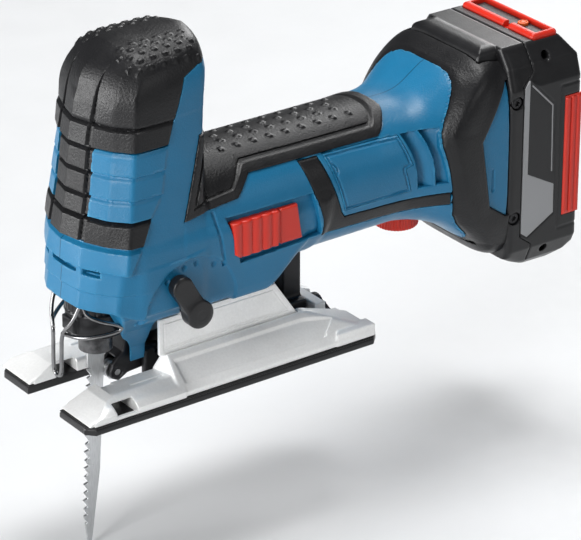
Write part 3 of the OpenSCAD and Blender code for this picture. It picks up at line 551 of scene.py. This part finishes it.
def openings(x, y, z, form):
    """Everything cut out of the housing; negative inside a cut."""
    v = np.abs(y)
    cut = np.maximum(polygon(x, z, SWITCH), np.maximum(20 - v, -(form + 2.4)))
    cut = np.minimum(cut, box(x, v, z, (59.8, 19, 63.6), (89, 45, 76.4)))
    lean = (97 - z) * 0.22 + 1.6 * np.sin(np.clip((97 - z) / 28, 0, 1) * np.pi)
    for front, width in LOUVRES:
        along = x - front - lean
        deep = 5.2 * np.clip(1 - along / width, 0.05, 1)
        slot = np.maximum(np.abs(along - width / 2) - width / 2, np.abs(z - 83.2) - 13.4)
        slot = np.maximum(slot, 1.2 - bumper_zone(x, y, z))
        cut = np.minimum(cut, np.maximum(np.maximum(slot, 20 - v), -(form + deep) * 0.8))
    vents = np.maximum(np.abs(z - 69.2) - 1.35, np.maximum(-(form + 2.6), x))
    cut = np.minimum(cut, np.maximum(vents, np.minimum(v - 9.5, np.abs(v - 17.8) - 4.3)))
    cavity = np.maximum(head(x, y, np.minimum(z, 56)) + 3.6, v - 24.5)
    mouth = np.maximum(np.maximum(z - 57, x - 20.5), cavity)
    cut = np.minimum(cut, smax(mouth, -x - 14.8, 2))
    cut = np.minimum(cut, rod(x, y, z, 14.6, 20, 60))
    room = np.minimum(box(x, y, z, (18.5, -22.6, 0), (101, 22.6, 45), 1),
                      np.maximum(rod(y, z - 8, x, 37.4, 18.5, 99), v - 30))
    cut = np.minimum(cut, room)
    cut = np.minimum(cut, box(x, y, z, (101.9, -4.3, 40), (112.1, 4.3, 52)))
    cut = np.minimum(cut, rod(x - 171, y, z, 11.2, 20, 48))
    rails = box(x, y, z, (197, -27, 28), (212, 27, 140), 0.6)
    rails = np.maximum(rails, -box(x, v, z, (201.6, 24.2, 28), (203.4, 30, 110), 0.3))
    cut = np.minimum(np.minimum(cut, rails), lever_hole(x, y, z))
    for sx, sz in SCREWS:
        cut = np.minimum(cut, rod(x - sx, z - sz, y, 3.1, 17, 60))
    return cut


def shroud(x, y, z):
    """Skirt that comes down on both sides of the plunger's end."""
    v = np.abs(y)
    form = smax(polygon(v, z, [(0, 13), (9, 14), (10, 22), (17, 34), (29, 47), (31, 56), (0, 56)]),
                polygon(x, z, [(11, 14), (20.5, 14), (20.5, 58), (-6, 58), (-6, 52), (3, 36)]), 1.0)
    form = smax(form, head(x, y, np.clip(z, 52, 56)), 1.0)
    return smax(smax(form, 6.5 - v, 0.4), 15.4 - np.hypot(x, y), 0.4)


def housing(x, y, z):
    form = body(x, y, z)
    zones = np.minimum(np.minimum(head_zone(x, y, z), grip_zone(x, y, z)),
                       np.minimum(np.minimum(bumper_zone(x, y, z), band_zone(x, y, z)), panel_zone(x, y, z)))
    skin = np.maximum(zones - 0.12, -(form + 1.5))
    return np.minimum(np.maximum(smax(form, -openings(x, y, z, form), 0.7), -skin), shroud(x, y, z))


def soft_piece(zone, rise, roundness=1.0):
    """A soft overmould: the housing's form inside a zone, raised, and one skin deep."""
    def field(x, y, z):
        form = body(x, y, z)
        outer = smax(form - rise(x, y, z), zone(x, y, z) + 0.1, roundness)
        skin = np.maximum(outer, -(form + 1.35))
        return np.maximum(skin, -openings(x, y, z, form))
    return field


def grip_rise(x, y, z):
    """The grip with a groove inside its edge and rows of dots round its back."""
    edge = -grip_zone(x, y, z)
    line = groove(edge, 4.6, 0.8, 1.15)
    arc = np.degrees(np.arctan2(np.abs(y), z - 77))
    row = np.clip(np.round((arc - 6) / 12), 0, 5)
    dx = (x - 4.5 * (row % 2)) % 9 - 4.5
    d = np.hypot(dx, (arc - 6 - 12 * row) * 0.55)
    dots = groove(d, 0, 1.8, 1.15) * (edge > 7) * (x > 62) * (x < 136)
    return 0.9 - 0.8 * line + 0.7 * dots - 0.5 * step(x, 41, 44) * (x < 44)


def bumper_rise(x, y, z):
    """The bumper swells to a ridge that runs down its side."""
    front, ridge = table(z, BUMPER_FRONT), table(z, BUMPER_RIDGE)
    return 0.5 + 2.1 * step(x, front, ridge + 0.5) - 1.5 * step(x, ridge + 1, ridge + 15)


def flat_rise(height):
    return lambda x, y, z: np.full(x.shape, height)


def panel_rise(x, y, z):
    edge = -polygon(x, z, PANEL)
    tab = np.hypot(x - 111.5, z - 89.6) - 4.2
    ring = groove(tab, -0.9, 0.6) * (edge > 1)
    return 0.35 - 0.6 * np.maximum(groove(edge, 1.3, 0.7), ring)


def split_halves(verts, quads):
    """Quads left and right of the middle plane."""
    left = verts[quads].mean(1)[:, 1] < 0
    for half, side in ((quads[left], "left"), (quads[~left], "right")):
        used, index = np.unique(half, return_inverse=True)
        yield side, verts[used], index.reshape(half.shape)


halves = surface(housing, *room(["housing_left", "housing_right"], 4), 0.72 * FINE)
for half_name, v_half, q_half in split_halves(*halves):
    attach(mesh_object("Housing_" + half_name, v_half, q_half, BLUE), ["housing_" + half_name])
build("Head_overmould", soft_piece(head_zone, flat_rise(0.1), 0.6), 0.52, RUBBER, ["head_grip"], 11)
build("Barrel_overmould", soft_piece(grip_zone, grip_rise), 0.6, RUBBER, ["barrel_grip"], 17)
build("Side_bands", soft_piece(band_zone, flat_rise(0.35)), 0.55, RUBBER, ["side_bands"], 4)
build("Tail_bumper", soft_piece(bumper_zone, bumper_rise, 1.6), 0.6, RUBBER, ["tail_bumper"], 5)
build("Blank_panels", soft_piece(panel_zone, panel_rise, 0.6), 0.55, BLUE, ["name_panels"], 9)

# ---------------------------------------------------------------- foot

RAIL = [(13.5, 4.35), (37.5, 4.35), (37.5, 7.2), (22.5, 20), (18.3, 20), (13.5, 11)]
RAIL_NOSE = [(13.5, 4.35), (37.5, 4.35), (37.5, 7.2), (21, 17.5), (15, 12.5)]
RAIL_SIDE = [(-27.7, 4.35), (130.7, 4.35), (130.7, 8), (100, 20.5), (23.5, 20.5), (21.2, 10), (-16, 10),
             (-27.7, 5.5)]
RAMP = [(-30, -9), (-24, 6.5), (-15, 11.2), (30, 21), (140, 60), (140, -9)]
FACE_PANEL = [(25.5, 25), (25.5, 34), (104, 34), (113, 27.5), (97, 25)]
REAR_PAD = [(108, 38), (114, 30), (131, 27), (131, 38)]
SLOT_BOX = ((-13, -50, 5.9), (-2, 50, 10.3))
SHOE = [(-28.5, 13.4), (-28.5, 34), (-24.5, 38), (129.5, 38), (133.5, 34), (133.5, -9), (113, -9),
        (113, 13.4)]
BORE = 8


def rail(x, y, z):
    """Both rails: a ridge behind a flatter nose, with the guide's slot and the cradle's seat."""
    v = np.abs(y)
    form = smax(polygon(v, z, RAIL), polygon(x, z, RAIL_SIDE), 1.6)
    front = np.maximum(polygon(v, z, RAIL_NOSE), np.maximum(x - 24, polygon(x, z, RAMP)))
    tilt_room = np.maximum((z - 8 - 0.16 * v) / 1.013, -x - 10)
    form = smin(form, smax(smax(front, -x - 27.7, 2.5), np.where(x > -10, tilt_room, -5), 0.6), 0.8)
    edge = polygon(x, v, FACE_PANEL)
    form = form + 0.9 * step(-edge, -0.2, 0.4) * (z > 7)
    form = form + 0.5 * groove(v, 24.6, 0.7) * (x > 2) * (x < 20) * (z > 10)
    block = smax(box(x, v, z, (108, 30, 4.35), (130.7, 37.5, 10.6), 0.8), polygon(x, v, REAR_PAD), 0.8)
    form = smin(form, block, 0.6)
    lip = box(x, v, z, (-14, 36.2, 4), (-1, 39, SLOT_BOX[0][2]))
    form = smax(form, -np.maximum(box(x, y, z, (-13, -50, 3.5), SLOT_BOX[1], 0.5), -lip), 0.5)
    seat = np.maximum(np.maximum(np.abs(v - 19.9) - 1.7, 19.2 - z), np.abs(x - 59) - 39.5)
    return np.maximum(form, -seat)


def foot_plate(x, y, z):
    form = rail(x, y, z)
    bridges = (((66, -14, 4.35), (72, 14, 13)), ((113, -14, 4.35), (119, 14, 16)),
               ((118, -14, 4.35), (130.7, 14, 6.4)))
    for lo, hi in bridges:
        form = smin(form, box(x, y, z, lo, hi, 0.6), 1.0)
    for radius, start, end in ((3.56, 60, 80), (3.06, 100, 119.1), (6.4, 119, 140)):
        form = smax(form, -rod(y, z - BORE, x, radius, start, end), 0.4)
    return form


def cradle(x, y, z):
    v = np.abs(y)
    side = polygon(x, z, [(21, 19.3), (97.5, 19.3), (85.3, 37.4), (21, 37.4)])
    border = groove(side, -2.6, 0.5) * (v > 19.9)
    panel = step(-side, 3.0, 3.6) * (v > 19.9)
    return smax(side, np.abs(v - 19.9) - 0.9 + 0.3 * border + 0.2 * panel, 0.5)


def shoe(x, y, z):
    v = np.abs(y)
    form = smax(polygon(x, v, SHOE), np.abs(z - 2.15) - 2.15, 1.0)
    for i in range(6):
        form = np.maximum(form, -box(x, v, z, (-18 + 22 * i, 20, -1), (-8 + 22 * i, 31, 0.7), 0.5))
    return np.maximum(form + groove(z, 3.2, 0.35) * 0.3, -rod(y, z - BORE, x, 6.4, 119, 140))


build("Foot_casting", foot_plate, 0.6, ALLOY, ["foot_plate"])
build("Foot_cradle", cradle, 0.45, ALLOY, ["cradle_walls"])
build("Sliding_shoe", shoe, 0.6, BLACK, ["sliding_shoe"], 3)


def keel(x, y, z):
    v = np.abs(y)
    form = box(x, y, z, (20.6, -9, 2.6), (64.5, 9, 17.4), 1.2)
    form = np.minimum(form, box(x, y, z, (73.5, -9, 2.6), (112, 9, 17.4), 1.2))
    form = smin(form, box(x, y, z, (102, -4, 2.6), (112, 4, 50), 1), 2)
    form = np.minimum(form, box(x, y, z, (100, -9, 49.6), (114, 9, 52), 0.6))
    form = smax(form, -box(x, v, z, (26, 6.6, 14.5), (60, 12, 20), 0.6), 0.5)
    form = smax(form, -box(x, y, z, (10, -5.8, -5), (50, 5.8, 22), 0.6), 0.5)
    form = smax(form, -rod(y, z - BORE, x, 3.5, 50, 85), 0.4)
    return smax(form, -rod(y, z - BORE, x, 3.06, 100, 115), 0.4)


def clamp_screw(x, y, z):
    h = z - BORE
    r, angle = np.hypot(y, h), np.arctan2(h, y)
    knurled = rod(y, h, x, 5.6, 119.5, 124.9, 1.0) + 0.25 * np.clip(np.cos(angle * 24), 0, 1) * (r > 5)
    form = np.minimum(knurled, rod(y, h, x, 2.95, 104, 120))
    hexagon = np.cos((angle + math.pi / 6) % (math.pi / 3) - math.pi / 6) * r - 2.5
    return smax(form, -np.maximum(hexagon, 121.9 - x), 0.3)


build("Bevel_keel", keel, 0.6, DARK, ["bevel_segment"])
build("Foot_clamp_screw", clamp_screw, 0.28, DARK, ["clamp_screw"])

# ---------------------------------------------------------------- blade, clamp, guide and guard


def turned(dx, dz, degrees):
    """Places turned about Y, as distances across and along a leaning piece."""
    lean = math.radians(degrees)
    return dx * math.cos(lean) - dz * math.sin(lean), dx * math.sin(lean) + dz * math.cos(lean)


def blade(x, y, z):
    """The blade leans: u runs across it from the teeth to the back, w up it from the clamp."""
    u, w = turned(x - 4.5, z - 22, 3.9)
    pitch = 4.2
    tooth = ((-w - 10) / pitch) % 1.0
    cutting = (w < -10) & (w > -93)
    gullet = np.where(tooth < 0.22, 1 - tooth / 0.22, (tooth - 0.22) / 0.78)
    depth = np.where(cutting, 2.5 * np.clip(gullet, 0, 1), 0)
    front = -9 + np.clip((-w - 10) / 52, 0, 2) * 0.6
    plan = np.maximum(front + depth * 0.9 - u, u)
    plan = np.maximum(plan, np.maximum(w - 5.6, -102 - w))
    plan = np.maximum(plan, ((u + 3.2) * 38.8 + (-102 - w) * 3.2) / 39)
    plan = np.maximum(plan, ((-4.8 - u) * 9 + (-102 - w) * 1.6) / 9.2)
    side = np.where(np.floor((-w - 10) / pitch) % 2 == 0, 0.3, -0.3)
    side = side * np.clip((front + 2.4 - u) / 2.4, 0, 1) * cutting
    hollow = 0.12 * np.clip(1.2 - ((u + 4.4) / 1.8) ** 2, 0, 1) * (w < -6) * (w > -60)
    return smax(plan, np.abs(y - side) - 0.62 + hollow, 0.2)


def clamp_ring(x, y, z):
    r = np.hypot(x, y)
    rib = 0.35 * np.clip(np.cos(np.arctan2(y, x) * 30), 0, 1) * (np.abs(z - 46) < 2.4)
    band = 0.5 * (np.clip(1 - np.abs(z - 32.6) / 1.1, 0, 1) + np.clip(1 - np.abs(z - 42.9) / 1.1, 0, 1))
    form = smax(r - 13.5 - band + rib, np.abs(z - 40.4) - 8.8, 1.0)
    form = smin(form, box(x, y, z, (-14.6, -5, 34), (-12, 5, 41), 0.8), 0.6)
    return smax(form, 10.2 - r, 0.6)


def bent(run):
    """A run of points with its corners cut into bends."""
    run = np.array(run, float)
    for _ in range(3):
        ahead, behind = run[:-1] * 0.75 + run[1:] * 0.25, run[:-1] * 0.25 + run[1:] * 0.75
        run = np.concatenate([run[:1], np.stack([ahead, behind], 1).reshape(-1, 3), run[-1:]])
    return run


def tube(runs, r, name, material, node):
    """Round wire bent along each run of points."""
    curve = bpy.data.curves.new(name, "CURVE")
    curve.dimensions, curve.bevel_depth, curve.bevel_resolution, curve.use_fill_caps = "3D", r * MM, 4, True
    for run in runs:
        places = bent(run) * MM
        spline = curve.splines.new("POLY")
        spline.points.add(len(places) - 1)
        for point, place in zip(spline.points, places):
            point.co = (*place, 1)
        spline.use_smooth = True
    curve.materials.append(material)
    obj = bpy.data.objects.new(name, curve)
    bpy.context.scene.collection.objects.link(obj)
    return attach(obj, [node])


def mirrored(run):
    return [(px, -py, pz) for px, py, pz in run]


LEG = [(-20.6, 1.2, 13.8), (-20.6, 3.3, 15.4), (-20.3, 3.5, 26), (-20, 3.5, 36), (-17.5, 9, 43),
       (-14.5, 10.5, 50.4)]
LOOP = [(-20, 3.5, 36), (-15.5, 12, 35.2), (-8, 18, 36.8), (-1, 21.4, 38.6), (0.4, 22, 40.2),
        (-1.4, 21.6, 42), (-8, 18.4, 44), (-13, 14, 46.6), (-13.6, 12, 50.4)]
tube([mirrored(LEG)[::-1] + LEG, LOOP, mirrored(LOOP)], 0.95, "Wire_guard", CHROME, "wire_guard")
build("Saw_blade", blade, 0.3, BLADE, ["blade"], crease=25)
build("Clamp_ring", clamp_ring, 0.4, DARK, ["clamp_ring"])

ARM = [(5.2, 6), (9, 3.6), (14, 6.4), (34, 8), (36, 13), (22, 17), (21, 26), (18.6, 30), (14.8, 29.8),
       (12.6, 26), (11.4, 18), (5.6, 12.4)]


def pendulum(x, y, z):
    form = smax(polygon(x, z, ARM), np.abs(y) - 5, 1.4)
    form = smin(form, rod(x - 8.2, z - 8.5, y, 3.6, -5.0, 5.0, 0.8), 0.8)
    form = smax(form, -box(x, y, z, (0, -2.6, 0), (15.5, 2.6, 15), 0.3), 0.4)
    form = smax(form, -rod(x - 17, z - 26, y, 2.06, -9, 9), 0.3)
    return smax(form, -rod(x - 8.2, z - 8.5, y, 1.5, -9, 9), 0.3)


def lever(x, y, z):
    dx, dz = x - LEVER[0], z - LEVER[1]
    u, w = turned(dx, dz, -30)
    t = np.clip(w, 0, 17.6)
    width = 5.4 - 0.25 * np.sin(t / 17.6 * np.pi)
    thick = 3.2 + 0.5 * np.clip(1 - (w / 9) ** 2, 0, 1) - 0.35 * step(w, 4, 12)
    arm = smax(np.hypot(u, w - t) - width, np.abs(y + 36.3) - thick, 1.6)
    hub = rod(dx, dz, y, 6.8, -39.5, -32.5, 1.2)
    face = np.maximum(np.hypot(dx, dz) - 3.2, -y - 45)
    hub = smax(hub, -np.maximum(face, y + 38.6), 0.4)
    return smin(smin(arm, hub, 1.2), rod(dx, dz, y, 4, -33, -26.8), 0.3)


build("Pendulum_fork", pendulum, 0.4, DARK, ["pendulum_arm"])
build("Orbital_lever", lever, 0.35, BLACK, ["orbital_lever"])

# ---------------------------------------------------------------- switch and dial


def switch(x, y, z):
    v = np.abs(y)
    plan = polygon(x, v, [(52.3, 28.2), (93.4, 28.2), (93.4, 31.3), (80, 31.4), (52.3, 32.4)])
    wave = 0.9 * np.abs(np.sin((x - 53.5) * math.pi / 5.6)) ** 0.8 * (x < 79) * (x > 53)
    outline = polygon(x, z, [(53.4, 80.6), (55.2, 64.6), (58, 62.4), (93.3, 62.6), (90.6, 80.6)])
    cap = smax(smax(plan - wave, outline, 1.4), np.abs(z - 71.5) - 9.1, 1.0)
    line = 0.5 * groove(x, 80.5, 0.7) * (v > 29)
    web = box(x, v, z, (62, 23.6, 66), (80, 28.9, 74), 0.4)
    leg = box(x, v, z, (62, 23.6, 49.6), (80, 26.1, 74), 0.4)
    bridge = box(x, y, z, (62, -26.1, 49.6), (80, 26.1, 52), 0.4)
    return np.minimum(np.minimum(cap + line, web), np.minimum(leg, bridge))


def dial(x, y, z):
    dx = x - 171
    r, angle = np.hypot(dx, y), np.arctan2(y, dx)
    rim = smax(r - 10.25 - 0.4 * np.abs(np.sin(angle * 20)), np.abs(z - 41.3) - 4, 1.0)
    rim = smax(rim, -smax(r - 7.6, z - 38.2, 0.5), 0.5)
    return smin(rim, rod(dx, y, z, 3, 40, 50.6), 0.5)


build("Slide_switch", switch, 0.5, RED, ["switch_slider"])
build("Speed_dial", dial, 0.32, RED, ["speed_dial"])

# ---------------------------------------------------------------- battery pack

PACK_SIDE = [(209.3, 20), (226, 10), (242, 9), (252.5, 19), (252.5, 116.5), (244.5, 127.2), (209.3, 127.2)]
PACK_BACK = [(-60, 9), (26, 9), (34, 16), (37.5, 24), (37.5, 107), (34.2, 117.5), (27.5, 127.2),
             (-60, 127.2)]
LABEL_EDGE = [(217.4, 32.7), (221, 30), (237, 39), (236.8, 54), (236, 96), (220.6, 111.5), (217.4, 107.4)]
LABEL_GREY = [(217.4, 32.7), (221, 30), (237, 39), (236.8, 54), (220.4, 63), (220.4, 111.2),
              (217.4, 107.4)]
REAR_FRAME = [(240, 30), (256, 30), (256, 104), (240, 104)]
BACK_PAD = [(-18, 30), (18, 30), (18, 100), (-18, 100)]
PACK_SCREWS = [(213.4, 41.7), (213.4, 101)]
# Axis of the charge gauge's button, seen from above
GAUGE = (238.5, -9)


def pack_form(x, y, z):
    """The pack's outer form, and where along it its two shells meet."""
    v = np.abs(y)
    form = smax(polygon(x, z, PACK_SIDE), polygon(v, z, PACK_BACK), 3.5)
    seam = table(z, [(26, 223.5), (31, 216.9), (108.5, 216.9), (114, 223.5)])
    seam = np.where(v > 33, seam, 223.5)
    return form, seam


def pack_cuts(x, y, z):
    v = np.abs(y)
    cut = np.maximum(polygon(x, z, LABEL_EDGE) - 0.15, 37.15 - v)
    cut = np.minimum(cut, box(x, v, z, (242.1, 36.55, 35.9), (260, 45, 98.1), 0.2))
    for sx, sz in PACK_SCREWS:
        cut = np.minimum(cut, rod(x - sx, z - sz, v, 3.3, 35, 45))
    for sx, sz in ((232.8, 119.4), (232.6, 21)):
        cut = np.minimum(cut, rod(x - sx, z - sz, v, 2.2, 28, 45))
    frame_cut = np.maximum(box(x, y, z, (229.1, -27.4, 119.2), (245.4, 27.4, 142), 0.5),
                           -box(x, y, z, (233.8, -24, 100), (241.8, 24, 126.7), 0.6))
    gauge_hole = rod(x - GAUGE[0], y - GAUGE[1], z, 2.9, 122, 140)
    return np.minimum(np.minimum(cut, frame_cut), gauge_hole)


def pack_front(x, y, z):
    form, seam = pack_form(x, y, z)
    v = np.abs(y)
    form = smax(form, x - seam + 0.18, 0.7)
    tongue = box(x, y, z, (198.6, -25, 30), (212, 25, 118), 0.6)
    tongue = np.maximum(tongue, -box(x, v, z, (201, 23.6, 20), (204, 30, 113), 0.2))
    hood = smax(box(x, y, z, (197.6, -26.4, 117), (214, 26.4, 140), 0.4), z - 126.9, 7)
    hood = smax(hood, v - 26.4, 2)
    tongue = np.minimum(tongue, hood)
    for i in range(-2, 3):
        tongue = np.maximum(tongue, -box(x, y, z, (190, 7 * i - 1.2, 20), (204.4, 7 * i + 1.2, 73), 0.2))
    return smax(np.minimum(form, tongue), -pack_cuts(x, y, z), 0.5)


def pack_rear(x, y, z):
    form, seam = pack_form(x, y, z)
    v = np.abs(y)
    line = groove(np.abs(polygon(x, z, REAR_FRAME)), 0.2, 0.5) * (v > 30)
    form = smax(form + line * 0.27, seam + 0.18 - x, 0.7)
    pad = 0.6 * step(-polygon(y, z, BACK_PAD), 0, 0.8) * (x > 250)
    return smax(form + pad, -pack_cuts(x, y, z), 0.5)


def label_piece(outline):
    def field(x, y, z):
        v = np.abs(y)
        shape = polygon(x, z, LABEL_EDGE) + 0.12
        shape = np.maximum(shape, outline(x, z))
        return smax(shape, np.abs(v - 37.08) - 0.45, 0.15)
    return field


def grey_print(x, z):
    """The label's grey part, and a thin line inside its edge from the top corner down the rear."""
    line = np.abs(polygon(x, z, LABEL_EDGE) + 1.5) - 0.35
    line = np.maximum(line, np.maximum(61 - z, 221.6 - x))
    return np.minimum(polygon(x, z, LABEL_GREY), line)


def rib_panel(x, y, z):
    v = np.abs(y)
    form = box(x, v, z, (242.3, 36.7, 36.1), (252.4, 37.55, 97.9), 0.3)
    for i in range(3):
        rib = box(x - 3.35 * i, v, z, (242.7, 36.9, 36.8), (245.2, 38.3, 97.2), 0.75)
        form = smin(form, rib, 0.25)
    return form


def release(x, y, z):
    ring = box(x, y, z, (229.5, -27, 122.4), (245, 27, 128.4), 2.0)
    ring = smax(ring, -box(x, y, z, (233.4, -24.4, 110), (242.2, 24.4, 140), 0.6), 0.8)
    chamfer = ((x - 243.2) * 7 + (z - 129.6) * 6.8) / 9.76
    notch = np.maximum(np.abs(y + 6.7) - 1.9, np.maximum(x - 236, 125.4 - z))
    return smax(smax(ring, chamfer, 0.6), -notch, 0.4)


def gauge(x, y, z):
    dx, dy = x - GAUGE[0], y - GAUGE[1]
    ring = np.maximum(np.abs(np.hypot(dx, dy) - 1.5) - 0.3, 127.1 - z)
    return smax(rod(dx, dy, z, 2.6, 123.5, 127.6, 0.6), -ring, 0.2)


def pack_screw(x, y, z):
    form = 1e3
    for sx, sz in PACK_SCREWS:
        dx, dz = x - sx, z - sz
        star = np.hypot(dx, dz) - 1.35 - 0.25 * np.cos(6 * np.arctan2(dz, dx))
        screw = rod(dx, dz, np.abs(y), 3.0, 35, 36.6, 0.8)
        form = np.minimum(form, smax(screw, -np.maximum(star, 35.6 - np.abs(y)), 0.2))
    return form


build("Pack_front_shell", pack_front, 0.7, BLACK, ["pack_shell_front"], 4)
build("Pack_rear_shell", pack_rear, 0.7, BLACK, ["pack_shell_rear"], 9)
build("Label_grey", label_piece(grey_print), 0.35, LABEL, ["pack_labels"])
label_rest = label_piece(lambda x, z: 0.02 - grey_print(x, z))
black_film = surface(label_rest, *room(["pack_labels"], 1), 0.35 * FINE)
extra(mesh_object("Label_black", *black_film, BLACK), "pack_labels")
build("Rib_panels", rib_panel, 0.4, RED, ["pack_ribs"])
build("Release_frame", release, 0.4, RED, ["release_button"], 4)
build("Gauge_button", gauge, 0.2, ORANGE, ["gauge_button"], 3)
build("Pack_screws", pack_screw, 0.25, DARK, ["pack_screws"])

# ---------------------------------------------------------------- camera, light and floor

LOOK_AT = Vector((0.108857, 0, 0.029674))
CAMERA_AT = Vector((-0.7343, -1.1683, 0.7254))


def aim(obj, target):
    obj.rotation_euler = (target - obj.location).to_track_quat("-Z", "Y").to_euler()


camera = bpy.data.objects.new("Camera", bpy.data.cameras.new("Camera"))
camera.data.lens, camera.data.sensor_width = 211.4, 36
camera.location = CAMERA_AT
aim(camera, LOOK_AT)
bpy.context.scene.collection.objects.link(camera)
bpy.context.scene.camera = camera

# Softboxes: name, place, width, height, power in watts
SOFTBOXES = [
    ("Key", (-1.45, -0.5, 0.6), 0.5, 1.1, 21),
    ("Top", (0.25, 0.15, 1.5), 0.9, 0.4, 17),
    ("Front", (0.6, -1.6, 0.8), 1.0, 0.6, 3.5),
    ("Nose", (-1.5, 0.75, 0.28), 0.5, 0.8, 20),
    ("Rim", (1.3, 0.9, 0.9), 0.5, 1.2, 12),
]
for light_name, place, width, height, power in SOFTBOXES:
    light = bpy.data.objects.new(light_name, bpy.data.lights.new(light_name, "AREA"))
    light.data.shape, light.data.size, light.data.size_y = "RECTANGLE", width, height
    light.data.energy = power
    light.location = place
    aim(light, Vector((0.1, 0, 0.06)))
    bpy.context.scene.collection.objects.link(light)

world = bpy.data.worlds.new("Studio")
world.use_nodes = True
world.node_tree.nodes["Background"].inputs["Color"].default_value = (0.96, 0.98, 1.0, 1)
world.node_tree.nodes["Background"].inputs["Strength"].default_value = 0.11
bpy.context.scene.world = world
bpy.context.scene.view_settings.view_transform = "Standard"

REACH = 4000
floor_z = CAD_BOX[0][2] / MM - 0.2
PALE = finish_of("pale_floor", (0.74, 0.75, 0.76), 0.6, depth=0.01, vary=0.01, grain=300)
corners = [(REACH * i, REACH * j, floor_z) for i, j in ((-1, -1), (1, -1), (1, 1), (-1, 1))]
floor = mesh_object("Floor", corners, [(0, 1, 2, 3)], PALE)
